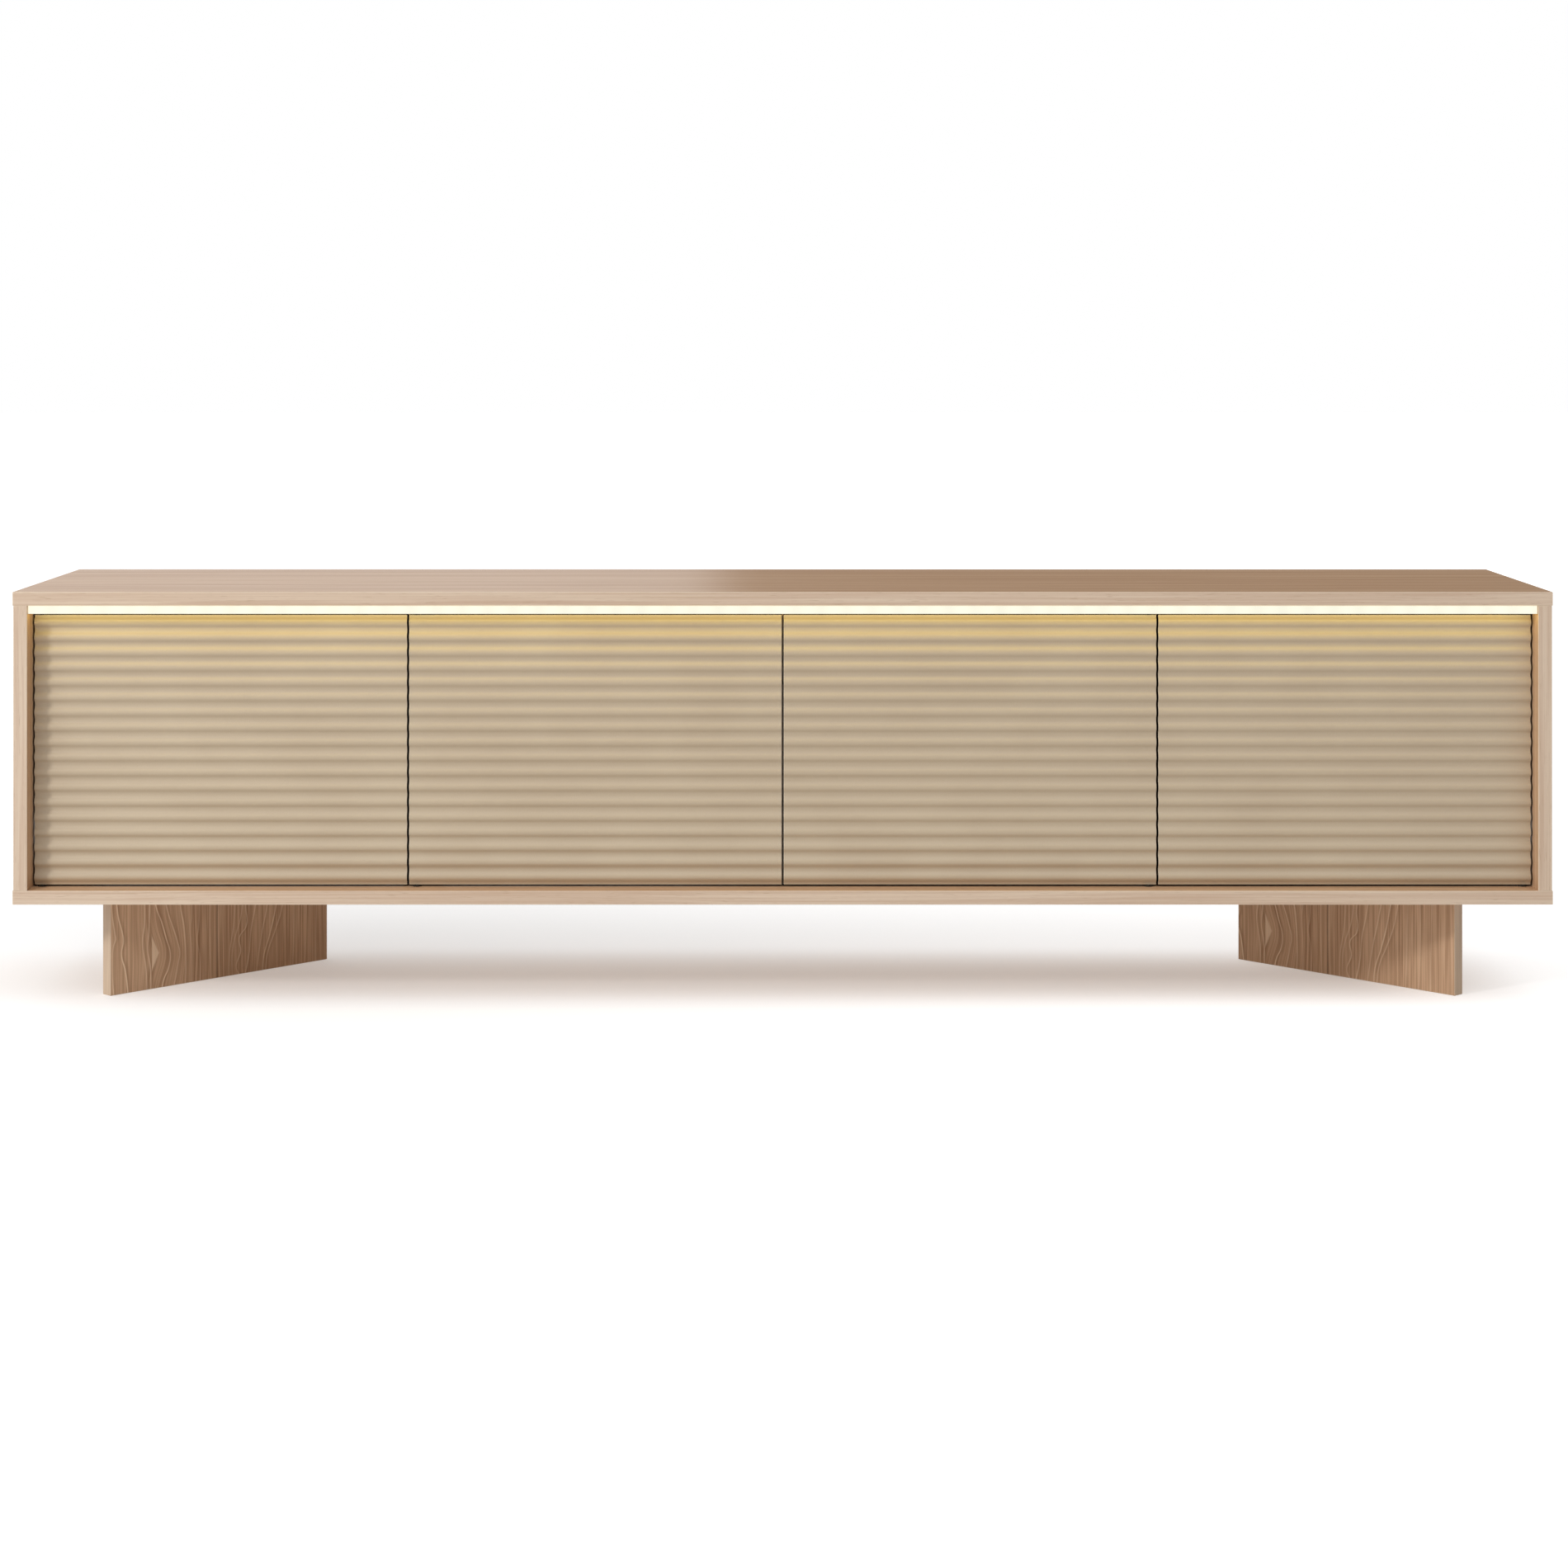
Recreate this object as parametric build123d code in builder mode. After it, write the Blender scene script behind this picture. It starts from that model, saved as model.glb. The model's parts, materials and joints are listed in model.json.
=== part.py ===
"""Low media cabinet: an open-fronted carcass with four wave-faced pivot doors, a light bar and two slab legs.

Frame: origin on the floor under the middle of the carcass, +X to the right, doors face -Y, +Z up.
Millimetres.
"""

from build123d import *
import math
import os

os.makedirs("parts", exist_ok=True)

# ---------------------------------------------------------------- driving dimensions
WIDTH = 2000.0
DEPTH = 400.0
HEIGHT = 540.0
BOARD = 18.0
LEG_HEIGHT = 134.0
SIDE_INSET = 1.0  # the side panels stand this much inside the ends of the top and bottom panels

DOOR_COUNT = 4
DOOR_RECESS = 30.0  # the wave crests stand this far behind the front edges of the carcass
DOOR_THICKNESS = 20.0  # at a crest
WAVE_COUNT = 18
WAVE_DEPTH = 4.0
DOOR_GAP = 2.2
DOOR_FOOT_GAP = 2.5
DOOR_HEAD_GAP = 14.5
LATCH_PLAY = 4.0  # room for the doors to be pressed in, between their backs and the partitions

LEG_LENGTH = 355.0
LEG_CENTRE_X = 769.0
LEG_CENTRE_Y = 7.0
LEG_TURN = math.radians(45)

# ---------------------------------------------------------------- levels and planes worked out from them
FRONT = -DEPTH / 2
BACK = DEPTH / 2
FLOOR_Z = LEG_HEIGHT + BOARD  # upper face of the bottom panel
CEILING_Z = HEIGHT - BOARD  # lower face of the top panel
SIDE_OUTER = WIDTH / 2 - SIDE_INSET
SIDE_INNER = SIDE_OUTER - BOARD
DOOR_FRONT = FRONT + DOOR_RECESS
DOOR_BACK = DOOR_FRONT + DOOR_THICKNESS
DOOR_FOOT = FLOOR_Z + DOOR_FOOT_GAP
DOOR_HEAD = CEILING_Z - DOOR_HEAD_GAP
DOOR_HEIGHT = DOOR_HEAD - DOOR_FOOT
DOOR_WIDTH = (2 * SIDE_INNER - (DOOR_COUNT + 1) * DOOR_GAP) / DOOR_COUNT
DOOR_PITCH = DOOR_WIDTH + DOOR_GAP
PARTITION_FRONT = DOOR_BACK + LATCH_PLAY
PARTITION_X = [-DOOR_PITCH, 0.0, DOOR_PITCH]
UPRIGHT_X = [-SIDE_INNER - BOARD / 2, *PARTITION_X, SIDE_INNER + BOARD / 2]

# back panels: in grooves along the top and the sides, open along the foot for cables
BACK_SHEET = 3.0
BACK_RECESS = 10.0
GROOVE_WIDTH = 3.4
GROOVE_DEPTH = 8.0
GROOVE_FILL = 7.0
CABLE_SLOT = 40.0
JOINT_HALF_GAP = 2.7
SHEET_FRONT = BACK - BACK_RECESS - BACK_SHEET
SHEET_BACK = SHEET_FRONT + BACK_SHEET
JOINT_STRIP = (24.0, 1.2)
JOINT_WEB = 5.0
BACK_SCREW_Z = [215.0, 350.0, 485.0]

# shelves and the rows of holes that their pins stand in
SHELF_PLAY = 1.0
SHELF_FRONT = -130.0
SHELF_BACK = 182.0
SHELF_UNDER = (FLOOR_Z + CEILING_Z - BOARD) / 2
PIN_RADIUS = 2.47
PIN_HOLE_RADIUS = 2.5
PIN_HOLE_DEPTH = 10.0
PIN_IN_BOARD = 8.0
PIN_OUT = 7.0
PIN_Y = [-93.0, 147.0]
PIN_STEP = 32.0
PIN_ROWS = 5
PIN_Z = SHELF_UNDER - PIN_RADIUS

# cam fittings and dowels between the uprights and the top and bottom panels
CAM_RADIUS = 7.4
CAM_THICK = 12.2
CAM_POCKET_RADIUS = 7.5
CAM_POCKET_DEPTH = 13.0
CAM_SETBACK = 24.0  # from the end of the upright to the middle of the cam
CAM_SLOT_RADIUS = 3.9
CAM_BOLT_RADIUS = 3.4
CAM_BOLT_BORE = 4.0
CAM_BOLT_REACH = 26.0
CAM_BORE_REACH = 28.0
CAM_THREAD_RADIUS = 2.95
CAM_THREAD_BORE = 3.0
CAM_THREAD_LENGTH = 11.0
CAM_CAP_RADIUS = 8.5
CAM_CAP_THICK = 1.2
CAM_Y = [-105.0, 158.0]
DOWEL_RADIUS = 3.97
DOWEL_BORE = 4.0
DOWEL_IN_PANEL = 11.0
DOWEL_IN_BOARD = 19.0
DOWEL_Y = [-60.0, 110.0]
BORE_END_PLAY = 1.0

# door pivots
PIVOT_FROM_EDGE = 10.0
PIVOT_FROM_CREST = 6.0
PIVOT_Y = DOOR_FRONT + PIVOT_FROM_CREST
PIVOT_PIN_RADIUS = 2.0
PIVOT_PIN_REACH = 8.0
PIVOT_SHOULDER_RADIUS = 3.0
RUNNING_PLAY = 0.05
PLATE_THICK = 2.0
PLATE_LENGTH = 58.0
PLATE_DEPTH = 11.0
PLATE_EDGE = 2.0  # from the door's end to the plate
PLATE_SCREWS = [22.0, 42.0]  # from the pivot axis
PLATE_SCREW_SETBACK = 4.0  # behind the pivot axis
PLATE_BEHIND_HOLLOW = 0.5
PLATE_SEAT_PLAY = 0.05
PLATE_SCREW_LENGTH = 16.0
HEAD_RECESS_RADIUS = 3.6
HEAD_RECESS_DEPTH = 1.65
BUSH_RADIUS = 4.0
BUSH_BORE = 4.02
BUSH_DEPTH = 9.0
BUSH_FLANGE_RADIUS = 6.0
BUSH_FLANGE = 1.0
HOUSING_BACK = 17.0  # housing's depth behind the pivot axis
HOUSING_FRONT = 6.5
HOUSING_SCREWS = [10.0, 19.0]  # along the door from the pivot axis
HOUSING_SCREW_SETBACK = 8.0  # behind the pivot axis
HOUSING_END = 6.0  # past the last screw
HOUSING_UNDER = DOOR_HEAD + DOOR_FOOT_GAP
HOUSING_SCREW_LENGTH = 22.0

# push latches
LATCH_Z = 430.0
LATCH_OFFSET = 9.0  # from the board's face to the latch's axis
LATCH_RADIUS = 6.5
LATCH_LENGTH = 62.0
LATCH_SETBACK = 0.5  # behind the front edge of the partition
LATCH_FRONT = PARTITION_FRONT + LATCH_SETBACK
LATCH_BORE_DEPTH = 52.0
LATCH_FOOT = (30.0, 34.0)
LATCH_FOOT_THICK = 2.5
LATCH_FOOT_START = 14.0
LATCH_SCREW_Z = 11.5
LATCH_RIB_HALF = 3.0
PLUNGER_RADIUS = 4.0
PLUNGER_LENGTH = 48.0
PLUNGER_TIP = 5.0
PLUNGER_TIP_RADIUS = 3.4
PLUNGER_SETBACK = 2.0  # from the mouth of the latch to the plunger's full width
PLUNGER_SHORTER = 4.0
CATCH_SIZE = (18.0, 30.0)
CATCH_CORNER = 3.0
CATCH_THICK = 1.0
CATCH_GAP = 0.2
BUMPER_RADIUS = 3.5
BUMPER_THICK = 1.1
BUMPER_FROM_EDGE = 4.5
BUMPER_FROM_END = 14.0

# light bar under the front edge of the top panel
BAR_FRONT = FRONT + 1.0
BAR_DEPTH = 14.0
BAR_BACK = BAR_FRONT + BAR_DEPTH
BAR_Y = (BAR_FRONT + BAR_BACK) / 2
BAR_HEIGHT = 10.5
BAR_WALL = 1.2
BAR_CAP = 1.2
BAR_END_PLAY = 0.2
BAR_LENGTH = 2 * (SIDE_INNER - BAR_END_PLAY - BAR_CAP)
RAIL_PLAY = 0.2
RAIL_BASE = 1.6
RAIL_LIP = (1.2, 3.0)
STRIP_WIDTH = 8.0
STRIP_THICK = 0.4
STRIP_END_PLAY = 2.0
LAMP_SIZE = (5.0, 5.0, 1.4)
LAMP_PITCH = 33.3
LAMP_COUNT = 58

# light supply
LEAD_RADIUS = 1.75
LEAD_Z = CEILING_Z - 4.0
LEAD_HOLE = 1.9
LEAD_ROUTE = [
    (-30.0, BAR_BACK - BAR_WALL),
    (-31.5, -132.0),
    (-44.0, -84.0),
    (-78.0, -44.0),
    (-118.0, -10.0),
    (-146.0, 36.0),
    (-150.0, 87.8),
]
LEAD_ARC_SHARE = 0.45
CLIP_RUNS = [2, 4]
CLIP_SIZE = (4.0, 9.0)
CLIP_WALL = 1.2
CLIP_BORE = 1.8
DRIVER_SIZE = (150.0, 44.0, 24.0)
DRIVER_X = -150.0
DRIVER_FRONT = 88.0
DRIVER_Y = DRIVER_FRONT + DRIVER_SIZE[1] / 2
DRIVER_CORNER = 3.0
DRIVER_ARRIS = 1.5
EAR_SIZE = (13.0, 20.0, 3.0)
INLET_SIZE = (10.0, 20.0, 12.0)
INLET_PLAY = 0.1
INLET_SLOT = (15.0, 8.5)
INLET_BACK = 2.0  # wall left at the back of the slot
INLET_PIN = (1.2, 7.5)
INLET_PIN_SETBACK = 1.5
INLET_PIN_STEP = 3.3

# leg fittings
LEG_BOLT_STEPS = [-115.0, 0.0, 115.0]
LEG_DOWEL_STEPS = [-57.5, 57.5]
LEG_BOLT_RADIUS = 3.0
LEG_BOLT_BORE = 3.1
LEG_BOLT_REACH = 37.0
LEG_BOLT_HEAD = (7.0, 2.0)
LEG_BOLT_SOCKET = (2.3, 1.4)
LEG_INSERT_RADIUS = 5.0
LEG_INSERT_BORE = 5.02
LEG_INSERT_LENGTH = 15.0
LEG_THREAD_BORE = 3.02

SCREW_RADIUS = 1.75
SHORT_SCREW_LENGTH = 10.5
PANEL_SCREW_BORE = 13.0
SCREW_BORE = 1.77
SCREW_HEAD_RADIUS = 3.5
SCREW_HEAD_THICK = 1.6

UP = (Align.CENTER, Align.CENTER, Align.MIN)
DOWN = (Align.CENTER, Align.CENTER, Align.MAX)
UPWARD = (0, 0, 1)
DOWNWARD = (0, 0, -1)
BACKWARD = (0, 1, 0)
FORWARD = (0, -1, 0)


# ---------------------------------------------------------------- small helpers
def save(part, name):
    """Write one finished piece, or one group of identical pieces, under its node name."""
    part.label = name
    export_step(part, f"parts/{name}.step")


def facing(point, direction):
    """A place at `point` whose own +Z looks along `direction`."""
    return Plane(origin=point, z_dir=direction).location


def bore(places, radius, depth):
    """Sink round bores into the part under construction, from each place along its own +Z."""
    with Locations(*places):
        Cylinder(radius, depth, align=UP, mode=Mode.SUBTRACT)


def block(low, high, mode=Mode.ADD):
    """A plain block between two corners."""
    middle = tuple((a + b) / 2 for a, b in zip(low, high))
    with Locations(middle):
        Box(*[b - a for a, b in zip(low, high)], mode=mode)


def screws(name, places, length):
    """A group of identical pan-head screws: each head sits on its place and its shank runs along its +Z."""
    with BuildPart() as group:
        with Locations(*places):
            Cylinder(SCREW_RADIUS, length, align=UP)
            Cylinder(SCREW_HEAD_RADIUS, SCREW_HEAD_THICK, align=DOWN)
    save(group.part, name)


# ---------------------------------------------------------------- where the fittings stand
def bay_faces(bay):
    """Left and right inner faces of a bay, counted from the left."""
    return UPRIGHT_X[bay] + BOARD / 2, UPRIGHT_X[bay + 1] - BOARD / 2


def inward(door):
    """+1 where a door's free end lies towards +X of its pivot, as on the two left doors."""
    return 1 if door < DOOR_COUNT / 2 else -1


def door_left(door):
    """X of a door's left end."""
    return -SIDE_INNER + DOOR_GAP + door * DOOR_PITCH


def pivot_x(door):
    """X of a door's pivot axis."""
    hinge_end = door_left(door) if inward(door) > 0 else door_left(door) + DOOR_WIDTH
    return hinge_end + inward(door) * PIVOT_FROM_EDGE


def free_end(door):
    """X of a door's free end."""
    return door_left(door) + DOOR_WIDTH if inward(door) > 0 else door_left(door)


def latch_face(door):
    """X of the partition face beside a door's push latch."""
    partition = PARTITION_X[door if inward(door) > 0 else door - 1]
    return partition - inward(door) * BOARD / 2


def latch_x(door):
    """X of a door's push latch."""
    return latch_face(door) - inward(door) * LATCH_OFFSET


def cam_side(upright):
    """Side of an upright that carries its cams: the left side panel's right face, elsewhere the left face."""
    return 1 if upright == 0 else -1


def leg_point(sign, along, z):
    """A point on a leg's centre line, `along` its length towards the back."""
    x = LEG_CENTRE_X - along * math.cos(LEG_TURN)
    return sign * x, LEG_CENTRE_Y + along * math.sin(LEG_TURN), z


def upright_ends(ys):
    """Places on the upper and lower ends of all uprights, looking into the top and bottom panels."""
    top = [facing((x, y, CEILING_Z), UPWARD) for x in UPRIGHT_X for y in ys]
    foot = [facing((x, y, FLOOR_Z), DOWNWARD) for x in UPRIGHT_X for y in ys]
    return top, foot


def leg_places(steps, z, direction):
    """Places along both legs' centre lines."""
    return [facing(leg_point(sign, step, z), direction) for sign in (-1, 1) for step in steps]


def housing_screw_points(door, z):
    """Points of a top pivot housing's two screws."""
    y = PIVOT_Y + HOUSING_SCREW_SETBACK
    return [(pivot_x(door) + inward(door) * step, y, z) for step in HOUSING_SCREWS]


def back_screw_places(upright, y, direction):
    """Places of the back panels' screws on one partition."""
    return [facing((UPRIGHT_X[upright], y, z), direction) for z in BACK_SCREW_Z]


DRIVER_EARS = [DRIVER_X + side * (DRIVER_SIZE[0] + EAR_SIZE[0]) / 2 for side in (-1, 1)]
DOORS = range(DOOR_COUNT)
CAMS_TOP, CAMS_FOOT = upright_ends(CAM_Y)
DOWELS_TOP, DOWELS_FOOT = upright_ends(DOWEL_Y)


# ---------------------------------------------------------------- carcass boards
def make_top_panel():
    """Top panel, grooved for the back panels and bored for cam bolts, dowels and screws in its lower face."""
    with BuildPart() as board:
        with BuildSketch(Plane.XY.offset(CEILING_Z)):
            Rectangle(WIDTH, DEPTH)
        extrude(amount=BOARD)
        groove_end = SIDE_INNER + GROOVE_DEPTH
        middle = (SHEET_FRONT + SHEET_BACK) / 2
        low = (-groove_end, middle - GROOVE_WIDTH / 2, CEILING_Z)
        high = (groove_end, middle + GROOVE_WIDTH / 2, CEILING_Z + GROOVE_DEPTH)
        block(low, high, Mode.SUBTRACT)
        bore(CAMS_TOP, CAM_THREAD_BORE, CAM_THREAD_LENGTH + BORE_END_PLAY)
        bore(DOWELS_TOP, DOWEL_BORE, DOWEL_IN_PANEL + BORE_END_PLAY)
        points = [point for door in DOORS for point in housing_screw_points(door, CEILING_Z)]
        points += [(x, DRIVER_Y, CEILING_Z) for x in DRIVER_EARS]
        bore([facing(point, UPWARD) for point in points], SCREW_BORE, PANEL_SCREW_BORE)
    save(board.part, "top_panel")


def make_bottom_panel():
    """Bottom panel, bored for cam bolts, dowels and pivot bushes from above and for the legs."""
    with BuildPart() as board:
        with BuildSketch(Plane.XY.offset(LEG_HEIGHT)):
            Rectangle(WIDTH, DEPTH)
        extrude(amount=BOARD)
        bore(CAMS_FOOT, CAM_THREAD_BORE, CAM_THREAD_LENGTH + BORE_END_PLAY)
        bore(DOWELS_FOOT, DOWEL_BORE, DOWEL_IN_PANEL + BORE_END_PLAY)
        bore([facing((pivot_x(door), PIVOT_Y, FLOOR_Z), DOWNWARD) for door in DOORS], BUSH_BORE, BUSH_DEPTH)
        bore(leg_places(LEG_BOLT_STEPS, FLOOR_Z, DOWNWARD), LEG_BOLT_BORE, BOARD)
        bore(leg_places(LEG_DOWEL_STEPS, LEG_HEIGHT, UPWARD), DOWEL_BORE, DOWEL_IN_PANEL + BORE_END_PLAY)
    save(board.part, "bottom_panel")


def upright_bores(upright):
    """Bores that every upright has: cam pockets, cam bolt and dowel bores in its two ends."""
    x, side = UPRIGHT_X[upright], cam_side(upright)
    face = x + side * BOARD / 2
    pocket_z = [CEILING_Z - CAM_SETBACK, FLOOR_Z + CAM_SETBACK]
    pockets = [facing((face, y, z), (-side, 0, 0)) for y in CAM_Y for z in pocket_z]
    bore(pockets, CAM_POCKET_RADIUS, CAM_POCKET_DEPTH)
    ends = [(CEILING_Z, DOWNWARD), (FLOOR_Z, UPWARD)]
    bore([facing((x, y, z), way) for y in CAM_Y for z, way in ends], CAM_BOLT_BORE, CAM_BORE_REACH)
    dowels = [facing((x, y, z), way) for y in DOWEL_Y for z, way in ends]
    bore(dowels, DOWEL_BORE, DOWEL_IN_BOARD + BORE_END_PLAY)


def pin_hole_points(x):
    """Points of the two rows of shelf pin holes on one face."""
    rows = range(-(PIN_ROWS // 2), PIN_ROWS // 2 + 1)
    return [(x, y, PIN_Z + row * PIN_STEP) for y in PIN_Y for row in rows]


def make_side_panel(name, upright, inner):
    """A side panel. `inner` is the X direction of its inner face."""
    x = UPRIGHT_X[upright]
    face = x + inner * BOARD / 2
    with BuildPart() as board:
        with BuildSketch(Plane.XY.offset(FLOOR_Z)):
            with Locations((x, 0)):
                Rectangle(BOARD, DEPTH)
        extrude(amount=CEILING_Z - FLOOR_Z)
        middle = (SHEET_FRONT + SHEET_BACK) / 2
        xs = sorted([face, face - inner * GROOVE_DEPTH])
        low = (xs[0], middle - GROOVE_WIDTH / 2, FLOOR_Z)
        high = (xs[1], middle + GROOVE_WIDTH / 2, CEILING_Z)
        block(low, high, Mode.SUBTRACT)
        upright_bores(upright)
        pin_holes = [facing(point, (-inner, 0, 0)) for point in pin_hole_points(face)]
        bore(pin_holes, PIN_HOLE_RADIUS, PIN_HOLE_DEPTH)
    save(board.part, name)


def make_partition(name, upright):
    """A partition between two bays, with its pin holes bored right through."""
    x = UPRIGHT_X[upright]
    with BuildPart() as board:
        with BuildSketch(Plane.XY.offset(FLOOR_Z)):
            with Locations((x, (PARTITION_FRONT + SHEET_FRONT) / 2)):
                Rectangle(BOARD, SHEET_FRONT - PARTITION_FRONT)
        extrude(amount=CEILING_Z - FLOOR_Z)
        upright_bores(upright)
        bore([facing(point, (1, 0, 0)) for point in pin_hole_points(x - BOARD / 2)], PIN_HOLE_RADIUS, BOARD)
        bore(back_screw_places(upright, SHEET_FRONT, FORWARD), SCREW_BORE, SHORT_SCREW_LENGTH)
        for door in DOORS:
            if abs(latch_face(door) - x) < BOARD:
                places = latch_screw_places(door, latch_face(door))
                bore(places, SCREW_BORE, SHORT_SCREW_LENGTH - LATCH_FOOT_THICK)
    save(board.part, name)


def make_shelf(name, bay):
    """A loose shelf that lies on four pins."""
    left, right = bay_faces(bay)
    with BuildPart() as board:
        with BuildSketch(Plane.XY.offset(SHELF_UNDER)):
            with Locations(((left + right) / 2, (SHELF_FRONT + SHELF_BACK) / 2)):
                Rectangle(right - left - 2 * SHELF_PLAY, SHELF_BACK - SHELF_FRONT)
        extrude(amount=BOARD)
    save(board.part, name)


def make_back_panel(name, sign):
    """One half of the back, from its side panel's groove to the joint strip on the centre partition."""
    xs = sorted([sign * JOINT_HALF_GAP, sign * (SIDE_INNER + GROOVE_FILL)])
    upright = 1 if sign < 0 else 3
    with BuildPart() as sheet:
        with BuildSketch(Plane.XY.offset(FLOOR_Z + CABLE_SLOT)):
            with Locations((sum(xs) / 2, (SHEET_FRONT + SHEET_BACK) / 2)):
                Rectangle(xs[1] - xs[0], BACK_SHEET)
        extrude(amount=CEILING_Z + GROOVE_FILL - FLOOR_Z - CABLE_SLOT)
        bore(back_screw_places(upright, SHEET_BACK, FORWARD), SCREW_BORE, BACK_SHEET)
    save(sheet.part, name)


def make_joint_strip():
    """T-shaped strip that covers the joint between the two back panels."""
    width, thick = JOINT_STRIP
    foot = FLOOR_Z + CABLE_SLOT
    with BuildPart() as strip:
        with BuildSketch(Plane.XY.offset(foot)):
            with Locations((0, SHEET_BACK + thick / 2)):
                Rectangle(width, thick)
            with Locations((0, (SHEET_FRONT + SHEET_BACK) / 2)):
                Rectangle(JOINT_WEB, BACK_SHEET)
        extrude(amount=CEILING_Z - foot)
        bore(back_screw_places(2, SHEET_BACK + thick, FORWARD), SCREW_BORE, BACK_SHEET + thick)
    save(strip.part, "back_joint_strip")


def make_short_screws():
    """The short screws: three on each partition's back, two for each push latch, two for the driver."""
    strip_back = SHEET_BACK + JOINT_STRIP[1]
    places = back_screw_places(1, SHEET_BACK, FORWARD) + back_screw_places(3, SHEET_BACK, FORWARD)
    places += back_screw_places(2, strip_back, FORWARD)
    for door in DOORS:
        places += latch_screw_places(door, latch_face(door) - inward(door) * LATCH_FOOT_THICK)
    places += [facing((x, DRIVER_Y, CEILING_Z - EAR_SIZE[2]), UPWARD) for x in DRIVER_EARS]
    screws("short_screws", places, SHORT_SCREW_LENGTH)


# ---------------------------------------------------------------- joinery
def make_cams():
    """Cam locks, their cover caps and their bolts, two at each end of each upright."""
    lock_places = []
    for upright, x in enumerate(UPRIGHT_X):
        side = cam_side(upright)
        face = x + side * BOARD / 2
        for y in CAM_Y:
            lock_places.append((facing((face, y, CEILING_Z - CAM_SETBACK), (-side, 0, 0)), 1, x, y))
            lock_places.append((facing((face, y, FLOOR_Z + CAM_SETBACK), (-side, 0, 0)), -1, x, y))
    with BuildPart() as locks:
        with Locations(*[place for place, _, _, _ in lock_places]):
            Cylinder(CAM_RADIUS, CAM_THICK, align=UP)
        for _, way, x, y in lock_places:
            end = CEILING_Z if way > 0 else FLOOR_Z
            bore([facing((x, y, end), (0, 0, -way))], CAM_SLOT_RADIUS, CAM_BORE_REACH)
    save(locks.part, "cam_locks")
    with BuildPart() as caps:
        with Locations(*[place for place, _, _, _ in lock_places]):
            Cylinder(CAM_CAP_RADIUS, CAM_CAP_THICK, align=DOWN)
    save(caps.part, "cam_caps")
    with BuildPart() as bolts:
        with Locations(*CAMS_TOP, *CAMS_FOOT):
            Cylinder(CAM_THREAD_RADIUS, CAM_THREAD_LENGTH, align=UP)
            Cylinder(CAM_BOLT_RADIUS, CAM_BOLT_REACH, align=DOWN)
    save(bolts.part, "cam_bolts")


def make_dowels():
    """Wooden dowels between the uprights and the top and bottom panels, and between legs and bottom."""
    with BuildPart() as group:
        with Locations(*DOWELS_TOP, *DOWELS_FOOT, *leg_places(LEG_DOWEL_STEPS, LEG_HEIGHT, UPWARD)):
            Cylinder(DOWEL_RADIUS, DOWEL_IN_PANEL, align=UP)
            Cylinder(DOWEL_RADIUS, DOWEL_IN_BOARD, align=DOWN)
    save(group.part, "dowels")


def make_shelf_pins():
    """Four pins under each shelf."""
    faces = []
    for bay in DOORS:
        left, right = bay_faces(bay)
        faces += [(left, 1), (right, -1)]
    places = [facing((x, y, PIN_Z), (way, 0, 0)) for x, way in faces for y in PIN_Y]
    with BuildPart() as group:
        with Locations(*places):
            Cylinder(PIN_RADIUS, PIN_OUT, align=UP)
            Cylinder(PIN_RADIUS, PIN_IN_BOARD, align=DOWN)
    save(group.part, "shelf_pins")


# ---------------------------------------------------------------- legs
def make_leg(name, sign):
    """A slab leg, set at 45 degrees with its outboard end to the front."""
    along = (-sign * math.cos(LEG_TURN), math.sin(LEG_TURN), 0)
    with BuildPart() as leg:
        with BuildSketch(Plane(origin=(sign * LEG_CENTRE_X, LEG_CENTRE_Y, 0), x_dir=along, z_dir=UPWARD)):
            Rectangle(LEG_LENGTH, BOARD)
        extrude(amount=LEG_HEIGHT)
        bolts = [facing(leg_point(sign, step, LEG_HEIGHT), DOWNWARD) for step in LEG_BOLT_STEPS]
        dowels = [facing(leg_point(sign, step, LEG_HEIGHT), DOWNWARD) for step in LEG_DOWEL_STEPS]
        bore(bolts, LEG_INSERT_BORE, LEG_INSERT_LENGTH)
        bore(bolts, LEG_BOLT_BORE, LEG_BOLT_REACH - BOARD + BORE_END_PLAY)
        bore(dowels, DOWEL_BORE, DOWEL_IN_BOARD + BORE_END_PLAY)
    save(leg.part, name)


def make_leg_fittings():
    """Bolts from inside the cabinet into threaded inserts in the legs' upper edges."""
    head_radius, head_thick = LEG_BOLT_HEAD
    with BuildPart() as bolts:
        with Locations(*leg_places(LEG_BOLT_STEPS, FLOOR_Z, DOWNWARD)):
            Cylinder(LEG_BOLT_RADIUS, LEG_BOLT_REACH, align=UP)
            Cylinder(head_radius, head_thick, align=DOWN)
        socket_radius, socket_depth = LEG_BOLT_SOCKET
        bore(leg_places(LEG_BOLT_STEPS, FLOOR_Z + head_thick, DOWNWARD), socket_radius, socket_depth)
    save(bolts.part, "leg_bolts")
    with BuildPart() as inserts:
        with Locations(*leg_places(LEG_BOLT_STEPS, LEG_HEIGHT, DOWNWARD)):
            Cylinder(LEG_INSERT_RADIUS, LEG_INSERT_LENGTH, align=UP)
        bore(leg_places(LEG_BOLT_STEPS, LEG_HEIGHT, DOWNWARD), LEG_THREAD_BORE, LEG_INSERT_LENGTH)
    save(inserts.part, "leg_inserts")


# ---------------------------------------------------------------- doors
def pivot_ends():
    """The two pivot ends of a door: the level of the door's end and the direction away from the door."""
    return [(DOOR_FOOT, -1), (DOOR_HEAD, 1)]


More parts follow.
